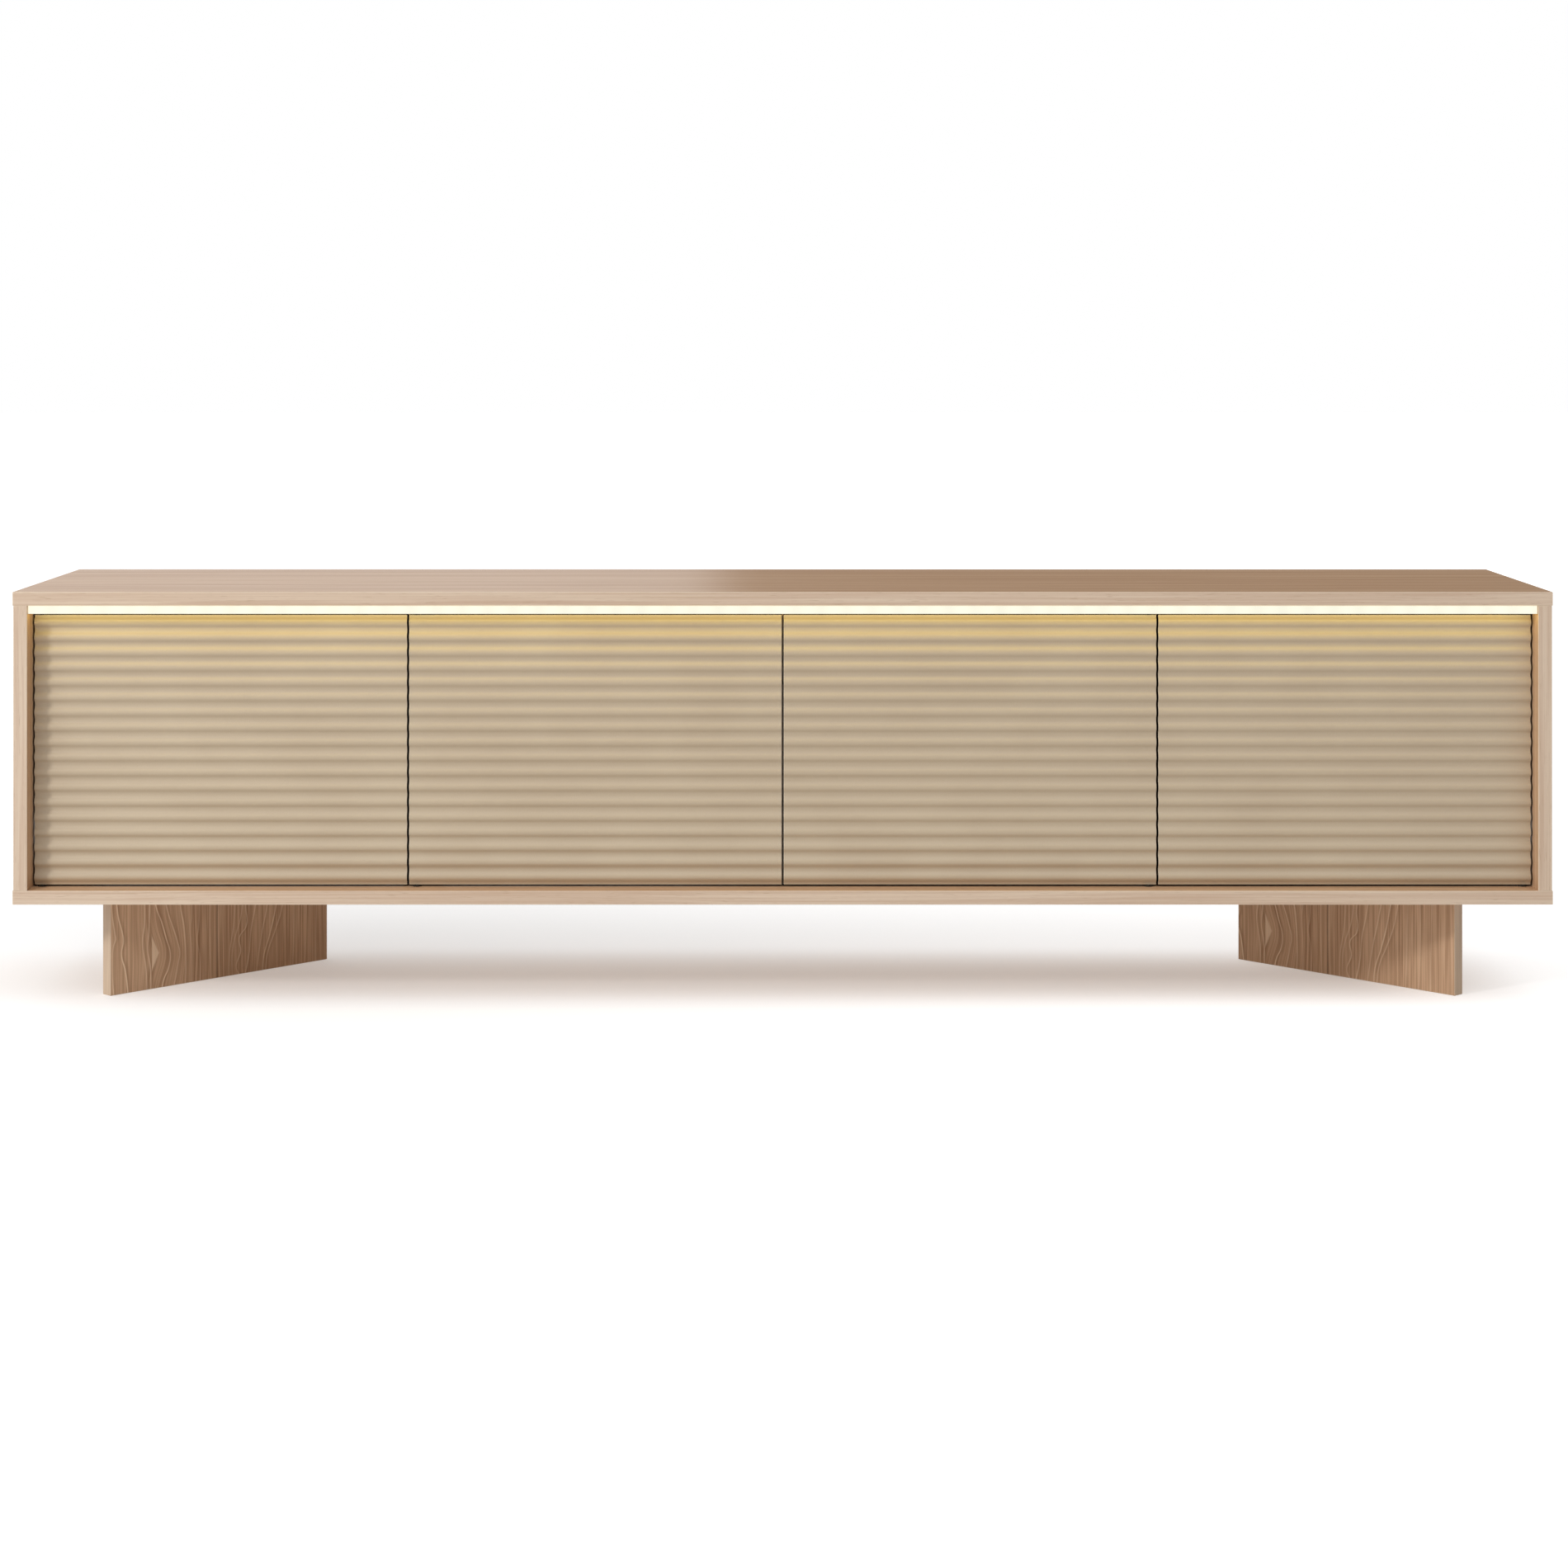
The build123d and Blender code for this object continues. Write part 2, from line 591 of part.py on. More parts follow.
def plate_corners(door, z, away, grow=0.0):
    """Opposite corners of a pivot plate, let flush into the end of the door."""
    start = pivot_x(door) - inward(door) * (PIVOT_FROM_EDGE - PLATE_EDGE)
    xs = sorted([start - inward(door) * grow, start + inward(door) * (PLATE_LENGTH + grow)])
    zs = sorted([z, z - away * PLATE_THICK])
    front = DOOR_FRONT + WAVE_DEPTH + PLATE_BEHIND_HOLLOW
    return (xs[0], front - grow, zs[0]), (xs[1], front + PLATE_DEPTH + grow, zs[1])


def plate_screw_places(door, z, away):
    """Places of a pivot plate's screws, looking into the door."""
    steps = [inward(door) * step for step in PLATE_SCREWS]
    return [facing((pivot_x(door) + step, PIVOT_Y + PLATE_SCREW_SETBACK, z), (0, 0, -away)) for step in steps]


def make_door_panel(door):
    """A door leaf: its front is a run of arcs, crest and hollow by turns, with a hollow at each end."""
    pitch = DOOR_HEIGHT / WAVE_COUNT
    crest, hollow = DOOR_FRONT, DOOR_FRONT + WAVE_DEPTH
    middle = (crest + hollow) / 2
    with BuildPart() as leaf:
        with BuildSketch(Plane(origin=(door_left(door), 0, 0), x_dir=BACKWARD, z_dir=(1, 0, 0))):
            with BuildLine():
                TangentArc((hollow, DOOR_FOOT), (middle, DOOR_FOOT + pitch / 4), tangent=(0, 1))
                for wave in range(WAVE_COUNT):
                    foot = DOOR_FOOT + wave * pitch
                    rise, top = (middle, foot + pitch / 4), (crest, foot + pitch / 2)
                    ThreePointArc(rise, top, (middle, foot + pitch * 3 / 4))
                    if wave < WAVE_COUNT - 1:
                        dip = (hollow, foot + pitch)
                        ThreePointArc((middle, foot + pitch * 3 / 4), dip, (middle, foot + pitch * 5 / 4))
                TangentArc((hollow, DOOR_HEAD), (middle, DOOR_HEAD - pitch / 4), tangent=(0, -1))
                back = [(DOOR_BACK, DOOR_HEAD), (DOOR_BACK, DOOR_FOOT)]
                Polyline((hollow, DOOR_HEAD), *back, (hollow, DOOR_FOOT))
            make_face()
        extrude(amount=DOOR_WIDTH)
        for z, away in pivot_ends():
            block(*plate_corners(door, z, away, grow=PLATE_SEAT_PLAY), Mode.SUBTRACT)
            bore(plate_screw_places(door, z, away), SCREW_BORE, PLATE_SCREW_LENGTH + BORE_END_PLAY)
    save(leaf.part, f"door_{door + 1}_panel")


def make_door_pivots(door):
    """The pivot plates of a door, one at its foot and one at its head, each with its pin."""
    with BuildPart() as plates:
        for z, away in pivot_ends():
            block(*plate_corners(door, z, away))
            shoulder = DOOR_FOOT_GAP - BUSH_FLANGE - 2 * RUNNING_PLAY
            with Locations(facing((pivot_x(door), PIVOT_Y, z), (0, 0, away))):
                Cylinder(PIVOT_SHOULDER_RADIUS, shoulder, align=UP)
                Cylinder(PIVOT_PIN_RADIUS, DOOR_FOOT_GAP + PIVOT_PIN_REACH, align=UP)
            bore(plate_screw_places(door, z, away), HEAD_RECESS_RADIUS, HEAD_RECESS_DEPTH)
            bore(plate_screw_places(door, z, away), SCREW_BORE, PLATE_THICK)
    save(plates.part, f"door_{door + 1}_pivots")
    places = []
    for z, away in pivot_ends():
        places += plate_screw_places(door, z - away * HEAD_RECESS_DEPTH, away)
    screws(f"door_{door + 1}_screws", places, PLATE_SCREW_LENGTH - HEAD_RECESS_DEPTH)


def make_door_trim(door):
    """The latch's catch plate and two bumper pads on the back of a door."""
    width, height = CATCH_SIZE
    with BuildPart() as catch:
        with BuildSketch(Plane(origin=(latch_x(door), DOOR_BACK, LATCH_Z), x_dir=(1, 0, 0), z_dir=BACKWARD)):
            RectangleRounded(width, height, CATCH_CORNER)
        extrude(amount=CATCH_THICK)
    save(catch.part, f"door_{door + 1}_catch")
    x = free_end(door) - inward(door) * BUMPER_FROM_EDGE
    ends = [DOOR_FOOT + BUMPER_FROM_END, DOOR_HEAD - BUMPER_FROM_END]
    with BuildPart() as pads:
        with Locations(*[facing((x, DOOR_BACK, z), BACKWARD) for z in ends]):
            Cylinder(BUMPER_RADIUS, BUMPER_THICK, align=UP)
    save(pads.part, f"door_{door + 1}_bumpers")


def make_pivot_bushes():
    """Flanged bushes for the pivot pins: one in the bottom panel and one in the housing above each door."""
    ends = [(FLOOR_Z, 1), (HOUSING_UNDER, -1)]
    places = [facing((pivot_x(door), PIVOT_Y, z), (0, 0, way)) for door in DOORS for z, way in ends]
    with BuildPart() as bushes:
        with Locations(*places):
            Cylinder(BUSH_FLANGE_RADIUS, BUSH_FLANGE, align=UP)
            Cylinder(BUSH_RADIUS, BUSH_DEPTH, align=DOWN)
            pin_bore = PIVOT_PIN_RADIUS + RUNNING_PLAY
            Cylinder(pin_bore, 3 * BUSH_DEPTH, mode=Mode.SUBTRACT)
    save(bushes.part, "pivot_bushes")


def make_pivot_housings():
    """The blocks under the top panel that hold the upper bushes, and their screws."""
    with BuildPart() as housings:
        for door in DOORS:
            ends = [-PIVOT_FROM_EDGE, HOUSING_SCREWS[-1] + HOUSING_END]
            xs = sorted(pivot_x(door) + inward(door) * end for end in ends)
            low = (xs[0], PIVOT_Y - HOUSING_FRONT, HOUSING_UNDER)
            block(low, (xs[1], PIVOT_Y + HOUSING_BACK, CEILING_Z))
            bore([facing((pivot_x(door), PIVOT_Y, HOUSING_UNDER), UPWARD)], BUSH_BORE, BUSH_DEPTH)
            places = [facing(point, UPWARD) for point in housing_screw_points(door, HOUSING_UNDER)]
            bore(places, HEAD_RECESS_RADIUS, HEAD_RECESS_DEPTH)
            bore(places, SCREW_BORE, CEILING_Z - HOUSING_UNDER)
    save(housings.part, "pivot_housings")
    seat = HOUSING_UNDER + HEAD_RECESS_DEPTH
    points = [point for door in DOORS for point in housing_screw_points(door, seat)]
    screws("housing_screws", [facing(point, UPWARD) for point in points], HOUSING_SCREW_LENGTH)


# ---------------------------------------------------------------- push latches
def latch_screw_places(door, x):
    """Places of a latch's two screws, looking into the partition."""
    y = LATCH_FRONT + LATCH_FOOT_START + LATCH_FOOT[0] / 2
    return [facing((x, y, LATCH_Z + side * LATCH_SCREW_Z), (inward(door), 0, 0)) for side in (-1, 1)]


def make_latch_housings():
    """Latch barrels, each with a foot against its partition."""
    foot_length, foot_height = LATCH_FOOT
    with BuildPart() as housings:
        for door in DOORS:
            front = facing((latch_x(door), LATCH_FRONT, LATCH_Z), BACKWARD)
            with Locations(front):
                Cylinder(LATCH_RADIUS, LATCH_LENGTH, align=UP)
            face = latch_face(door)
            start = LATCH_FRONT + LATCH_FOOT_START
            xs = sorted([face, face - inward(door) * LATCH_FOOT_THICK])
            low = (xs[0], start, LATCH_Z - foot_height / 2)
            block(low, (xs[1], start + foot_length, LATCH_Z + foot_height / 2))
            xs = sorted([face, latch_x(door)])
            low = (xs[0], start, LATCH_Z - LATCH_RIB_HALF)
            block(low, (xs[1], start + foot_length, LATCH_Z + LATCH_RIB_HALF))
            bore([front], PLUNGER_RADIUS + RUNNING_PLAY, LATCH_BORE_DEPTH)
            foot_face = face - inward(door) * LATCH_FOOT_THICK
            bore(latch_screw_places(door, foot_face), SCREW_BORE, LATCH_FOOT_THICK)
    save(housings.part, "latch_housings")


def make_plunger(door):
    """A latch's sprung plunger, with its magnet end against the catch plate."""
    tip = DOOR_BACK + CATCH_THICK + CATCH_GAP
    with BuildPart() as plunger:
        with Locations(facing((latch_x(door), tip, LATCH_Z), BACKWARD)):
            Cylinder(PLUNGER_TIP_RADIUS, PLUNGER_LENGTH, align=UP)
        with Locations(facing((latch_x(door), LATCH_FRONT + PLUNGER_SETBACK, LATCH_Z), BACKWARD)):
            Cylinder(PLUNGER_RADIUS, PLUNGER_LENGTH - PLUNGER_TIP - PLUNGER_SHORTER, align=UP)
    save(plunger.part, f"latch_{door + 1}_plunger")


# ---------------------------------------------------------------- light bar and its supply
def make_light_bar():
    """Opal cover, aluminium rail, lamp strip and end caps of the light bar."""
    foot = CEILING_Z - BAR_HEIGHT
    half = BAR_LENGTH / 2
    with BuildPart() as cover:
        block((-half, BAR_FRONT, foot), (half, BAR_BACK, CEILING_Z))
        inner = (half, BAR_BACK - BAR_WALL, CEILING_Z)
        block((-half, BAR_FRONT + BAR_WALL, foot + BAR_WALL), inner, Mode.SUBTRACT)
        bore([facing((LEAD_ROUTE[0][0], BAR_BACK, LEAD_Z), FORWARD)], LEAD_HOLE, BAR_WALL)
    save(cover.part, "light_cover")
    lip, drop = RAIL_LIP
    front, back = BAR_FRONT + BAR_WALL + RAIL_PLAY, BAR_BACK - BAR_WALL - RAIL_PLAY
    under = CEILING_Z - RAIL_BASE
    with BuildPart() as rail:
        block((-half, front, under - drop), (half, back, CEILING_Z))
        block((-half, front + lip, under - drop), (half, back - lip, under), Mode.SUBTRACT)
        bore([facing((LEAD_ROUTE[0][0], back, LEAD_Z), FORWARD)], LEAD_HOLE, lip)
    save(rail.part, "light_rail")
    with BuildPart() as strip:
        end = half - STRIP_END_PLAY
        low = (-end, BAR_Y - STRIP_WIDTH / 2, under - STRIP_THICK)
        block(low, (end, BAR_Y + STRIP_WIDTH / 2, under))
        with Locations((0, BAR_Y, under - STRIP_THICK)):
            with GridLocations(LAMP_PITCH, 1, LAMP_COUNT, 1):
                Box(*LAMP_SIZE, align=DOWN)
    save(strip.part, "lamp_strip")
    with BuildPart() as caps:
        for side in (-1, 1):
            xs = sorted([side * half, side * (half + BAR_CAP)])
            block((xs[0], BAR_FRONT, foot), (xs[1], BAR_BACK, CEILING_Z))
    save(caps.part, "light_end_caps")


def lead_radii():
    """The largest arcs that the lead's runs leave room for."""
    runs = [Vector(*b) - Vector(*a) for a, b in zip(LEAD_ROUTE, LEAD_ROUTE[1:])]
    radii = []
    for before, after in zip(runs, runs[1:]):
        turn = math.radians(before.get_angle(after))
        radii.append(LEAD_ARC_SHARE * min(before.length, after.length) / math.tan(turn / 2))
    return radii


def make_lead():
    """The two-core lead from the light bar to its driver, and the clips that hold it under the top panel."""
    points = [(x, y, LEAD_Z) for x, y in LEAD_ROUTE]
    with BuildPart() as lead:
        with BuildLine() as path:
            FilletPolyline(*points, radius=lead_radii())
        with BuildSketch(Plane(origin=points[0], z_dir=path.wire() % 0)):
            Circle(LEAD_RADIUS)
        sweep()
    save(lead.part, "light_lead")
    along, across = CLIP_SIZE
    with BuildPart() as clips:
        for run in CLIP_RUNS:
            start, end = Vector(*LEAD_ROUTE[run]), Vector(*LEAD_ROUTE[run + 1])
            middle, way = (start + end) * 0.5, (end - start).normalized()
            foot = LEAD_Z - LEAD_RADIUS - CLIP_WALL
            with BuildSketch(Plane(origin=(middle.X, middle.Y, foot), x_dir=(way.X, way.Y, 0), z_dir=UPWARD)):
                Rectangle(along, across)
            extrude(amount=CEILING_Z - foot)
            with Locations(facing((middle.X, middle.Y, LEAD_Z), (way.X, way.Y, 0))):
                Cylinder(CLIP_BORE, 2 * along, mode=Mode.SUBTRACT)
    save(clips.part, "lead_clips")


def make_driver():
    """The light's driver with two screw ears, and its mains inlet."""
    length, depth, height = DRIVER_SIZE
    ear_length, ear_depth, ear_thick = EAR_SIZE
    left = DRIVER_X - length / 2
    inlet_length, inlet_width, inlet_height = INLET_SIZE
    inlet_z = CEILING_Z - height / 2
    with BuildPart() as case:
        with BuildSketch(Plane.XY.offset(CEILING_Z - height)):
            with Locations((DRIVER_X, DRIVER_Y)):
                RectangleRounded(length, depth, DRIVER_CORNER)
        extrude(amount=height)
        fillet(case.faces().sort_by(Axis.Z)[0].edges(), radius=DRIVER_ARRIS)
        for x in DRIVER_EARS:
            with Locations((x, DRIVER_Y, CEILING_Z)):
                Box(ear_length, ear_depth, ear_thick, align=DOWN)
        with Locations((left + inlet_length / 2, DRIVER_Y, inlet_z)):
            Box(inlet_length, inlet_width, inlet_height, mode=Mode.SUBTRACT)
        ears = [facing((x, DRIVER_Y, CEILING_Z - ear_thick), UPWARD) for x in DRIVER_EARS]
        bore(ears, SCREW_BORE, ear_thick)
    save(case.part, "light_driver")
    with BuildPart() as inlet:
        with Locations((left + inlet_length / 2, DRIVER_Y, inlet_z)):
            Box(inlet_length - INLET_PLAY, inlet_width - INLET_PLAY, inlet_height - INLET_PLAY)
        mouth = Plane(origin=(left + INLET_PLAY / 2, DRIVER_Y, inlet_z), x_dir=BACKWARD, z_dir=(1, 0, 0))
        with BuildSketch(mouth):
            SlotOverall(*INLET_SLOT)
        extrude(amount=inlet_length - INLET_BACK, mode=Mode.SUBTRACT)
        pin_ys = [DRIVER_Y + side * INLET_PIN_STEP for side in (-1, 1)]
        with Locations(*[facing((left + INLET_PIN_SETBACK, y, inlet_z), (1, 0, 0)) for y in pin_ys]):
            Cylinder(*INLET_PIN, align=UP)
    save(inlet.part, "driver_inlet")


# ---------------------------------------------------------------- build everything
def main():
    """Make every piece in turn."""
    make_top_panel()
    make_bottom_panel()
    make_side_panel("left_side_panel", 0, 1)
    make_side_panel("right_side_panel", 4, -1)
    for name, upright in (("left_partition", 1), ("centre_partition", 2), ("right_partition", 3)):
        make_partition(name, upright)
    make_back_panel("left_back_panel", -1)
    make_back_panel("right_back_panel", 1)
    make_joint_strip()
    make_short_screws()
    make_cams()
    make_dowels()
    make_shelf_pins()
    make_leg("left_leg", -1)
    make_leg("right_leg", 1)
    make_leg_fittings()
    make_pivot_bushes()
    make_pivot_housings()
    make_latch_housings()
    make_light_bar()
    make_lead()
    make_driver()
    for door in DOORS:
        make_shelf(f"shelf_{door + 1}", door)
        make_door_panel(door)
        make_door_pivots(door)
        make_door_trim(door)
        make_plunger(door)


main()
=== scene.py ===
"""A low media cabinet: veneered boards, four wave-faced doors, a light bar and two slab legs.

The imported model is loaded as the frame. Each board, door and fitting is then finished as a new piece that takes the
place of its CAD node, in metres and in the same frame.
"""

from __future__ import annotations

import json
import logging
import math
from collections.abc import Callable
from dataclasses import dataclass, field
from enum import Enum

import bmesh
import bpy
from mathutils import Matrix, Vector

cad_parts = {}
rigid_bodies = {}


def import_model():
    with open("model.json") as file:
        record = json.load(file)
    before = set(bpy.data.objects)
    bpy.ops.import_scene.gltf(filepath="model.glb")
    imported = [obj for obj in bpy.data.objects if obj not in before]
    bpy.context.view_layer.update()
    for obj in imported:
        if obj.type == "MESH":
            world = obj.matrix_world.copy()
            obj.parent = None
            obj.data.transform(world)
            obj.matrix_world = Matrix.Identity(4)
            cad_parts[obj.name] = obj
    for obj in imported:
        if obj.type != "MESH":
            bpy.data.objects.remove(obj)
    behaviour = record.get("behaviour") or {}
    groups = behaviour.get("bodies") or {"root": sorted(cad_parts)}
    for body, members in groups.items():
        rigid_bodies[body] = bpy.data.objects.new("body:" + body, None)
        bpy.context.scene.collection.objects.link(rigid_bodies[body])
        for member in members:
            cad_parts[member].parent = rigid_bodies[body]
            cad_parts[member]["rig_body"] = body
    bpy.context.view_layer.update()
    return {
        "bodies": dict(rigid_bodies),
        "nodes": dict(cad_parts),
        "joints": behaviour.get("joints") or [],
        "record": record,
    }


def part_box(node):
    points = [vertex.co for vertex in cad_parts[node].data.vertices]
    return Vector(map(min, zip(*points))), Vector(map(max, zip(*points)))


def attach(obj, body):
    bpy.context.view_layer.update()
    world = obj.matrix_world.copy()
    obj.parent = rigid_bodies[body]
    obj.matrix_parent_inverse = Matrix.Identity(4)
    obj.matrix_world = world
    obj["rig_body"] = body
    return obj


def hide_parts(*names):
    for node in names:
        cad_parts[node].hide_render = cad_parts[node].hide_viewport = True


Colour = tuple[float, float, float]
Place = tuple[float, float, float]
Spot = tuple[float, float]
EdgeTest = Callable[[bmesh.types.BMEdge], bool]

LOG = logging.getLogger("media_cabinet")
ARRIS_MARK = "arris"
EDGE_MARK = "edge_band"
NEARLY = 2e-5
SHARP = math.radians(30)
SMOOTH_BELOW = math.radians(40)
FLAT_WITHIN = math.radians(0.5)
MERGE_WITHIN = 1e-5
FACING = 0.9
EVEN: Place = (1.0, 1.0, 1.0)
BLACK: Colour = (0.0, 0.0, 0.0)
WHITE: Colour = (1.0, 1.0, 1.0)
MM_PER_M = 1000
LAMP_PITCH = 0.0333
WAVE_REACH = 0.0042


class Grain(Enum):
    """Which way the grain of a board runs."""

    ALONG = (0.0, 0.0, 0.0)
    UPRIGHT = (0.0, math.pi / 2, 0.0)


class Outline(Enum):
    """Which edges of a piece are rounded."""

    BOARD = "the edges of its bounding block"
    DOOR = "the edges of its bounding block and its wave profile"
    ALL = "every sharp outer edge"


def shade(red: float, green: float, blue: float) -> Colour:
    """Turns a colour mixed on a 0 to 255 scale into the linear values that shaders use.

    Args:
        red: Red share, 0 to 255.
        green: Green share, 0 to 255.
        blue: Blue share, 0 to 255.

    Returns:
        The linear red, green and blue.
    """

    def linear(value: float) -> float:
        """One channel on the standard display curve."""
        share = value / 255
        return share / 12.92 if share <= 0.04045 else ((share + 0.055) / 1.055) ** 2.4

    return linear(red), linear(green), linear(blue)


# ---------------------------------------------------------------- shader nodes
@dataclass(frozen=True)
class Streaks:
    """Noise drawn out along the grain: its scale along and across the grain, and its noise settings."""

    along: float
    across: float
    detail: float = 1.0
    roughness: float = 0.5


class Bench:
    """Adds nodes to one tree and joins them."""

    def __init__(self, tree: bpy.types.NodeTree) -> None:
        """Keeps the tree that the nodes go into."""
        self.tree = tree

    def add(self, kind: str, inputs: dict | None = None, **settings: object) -> bpy.types.Node:
        """Adds a node.

        Args:
            kind: The node's Blender type.
            inputs: Values or sockets for its inputs, by name or by number.
            settings: Values for the node's own properties.

        Returns:
            The new node.
        """
        node = self.tree.nodes.new(kind)
        for name, value in settings.items():
            setattr(node, name, value)
        for name, value in (inputs or {}).items():
            self.feed(node.inputs[name], value)
        return node

    def feed(self, socket: bpy.types.NodeSocket, value: object) -> None:
        """Links a socket to another one, or sets its constant."""
        if isinstance(value, bpy.types.NodeSocket):
            self.tree.links.new(value, socket)
        elif socket.type == "RGBA":
            socket.default_value = (*value, 1.0)
        else:
            socket.default_value = value

    def calc(self, operation: str, *values: object, clamp: bool = False) -> bpy.types.NodeSocket:
        """One Math node's result.

        Args:
            operation: The Math node's operation.
            values: Its numbers or sockets, in order.
            clamp: Whether the result is held between 0 and 1.

        Returns:
            The value socket.
        """
        return self.add("ShaderNodeMath", dict(enumerate(values)), operation=operation, use_clamp=clamp).outputs[0]

    def times(self, *values: object) -> bpy.types.NodeSocket:
        """The product of numbers or sockets."""
        product = values[0]
        for value in values[1:]:
            product = self.calc("MULTIPLY", product, value)
        return product

    def plus(self, *values: object) -> bpy.types.NodeSocket:
        """The sum of numbers or sockets."""
        total = values[0]
        for value in values[1:]:
            total = self.calc("ADD", total, value)
        return total

    def less(self, value: object, taken: object) -> bpy.types.NodeSocket:
        """A number or socket less another one."""
        return self.calc("SUBTRACT", value, taken)

    def span(self, value: object) -> bpy.types.NodeSocket:
        """A socket's absolute value."""
        return self.calc("ABSOLUTE", value)

    def vector(self, operation: str, *values: object) -> bpy.types.NodeSocket:
        """One Vector Math node's vector."""
        return self.add("ShaderNodeVectorMath", dict(enumerate(values)), operation=operation).outputs["Vector"]

    def noise(self, place: object, scale: object, detail: float = 2.0, roughness: float = 0.5) -> bpy.types.NodeSocket:
        """Noise between 0 and 1 at a place.

        Args:
            place: The vector socket it is read at.
            scale: Its scale.
            detail: How many finer layers it has.
            roughness: How strong the finer layers are.

        Returns:
            The value socket.
        """
        inputs = {"Vector": place, "Scale": scale, "Detail": detail, "Roughness": roughness}
        return self.add("ShaderNodeTexNoise", inputs).outputs[0]

    def streaks(self, place: object, layer: Streaks) -> bpy.types.NodeSocket:
        """Noise drawn out along X."""
        stretched = self.vector("MULTIPLY", place, (layer.along, layer.across, layer.across))
        return self.noise(stretched, 1.0, layer.detail, layer.roughness)

    def ramp(
        self, value: object, low: float, high: float, bottom: object = 0.0, top: object = 1.0
    ) -> bpy.types.NodeSocket:
        """A smooth step between two values.

        Args:
            value: The socket that is mapped.
            low: Where the step starts.
            high: Where the step ends.
            bottom: Result at the start.
            top: Result at the end.

        Returns:
            The value socket.
        """
        inputs = {"Value": value, "From Min": low, "From Max": high, "To Min": bottom, "To Max": top}
        return self.add("ShaderNodeMapRange", inputs, interpolation_type="SMOOTHSTEP").outputs[0]

    def mix(self, share: object, one: object, other: object) -> bpy.types.NodeSocket:
        """A mix of two colours.

        Args:
            share: How much of the other colour, 0 to 1.
            one: First colour.
            other: Other colour.

        Returns:
            The colour socket.
        """
        node = self.add("ShaderNodeMix", data_type="RGBA")
        self.feed(node.inputs["Factor"], share)
        self.feed(node.inputs[6], one)
        self.feed(node.inputs[7], other)
        return node.outputs[2]

    def object_place(self) -> bpy.types.NodeSocket:
        """Object coordinates."""
        return self.add("ShaderNodeTexCoord").outputs["Object"]

    def split(self, place: object) -> bpy.types.NodeOutputs:
        """The X, Y and Z sockets of a place."""
        return self.add("ShaderNodeSeparateXYZ", {"Vector": place}).outputs

    def mark(self, name: str) -> bpy.types.NodeSocket:
        """The value that a mesh holds for each face under a name."""
        return self.add("ShaderNodeAttribute", attribute_name=name).outputs["Fac"]

    def turned(self, place: object, rotation: Place, shift: Place = (0.0, 0.0, 0.0)) -> bpy.types.NodeSocket:
        """A place turned and shifted by a Mapping node."""
        return self.add("ShaderNodeMapping", {"Vector": place, "Rotation": rotation, "Location": shift}).outputs[0]

    def camera_share(self) -> bpy.types.NodeSocket:
        """1 where the camera looks straight at a surface, 0 for light on its way elsewhere."""
        return self.add("ShaderNodeLightPath").outputs["Is Camera Ray"]

    def use(self, group: bpy.types.NodeTree, **inputs: object) -> bpy.types.Node:
        """Places a node group with its own values."""
        node = self.tree.nodes.new("ShaderNodeGroup")
        node.node_tree = group
        for name, value in inputs.items():
            self.feed(node.inputs[name.replace("_", " ")], value)
        return node


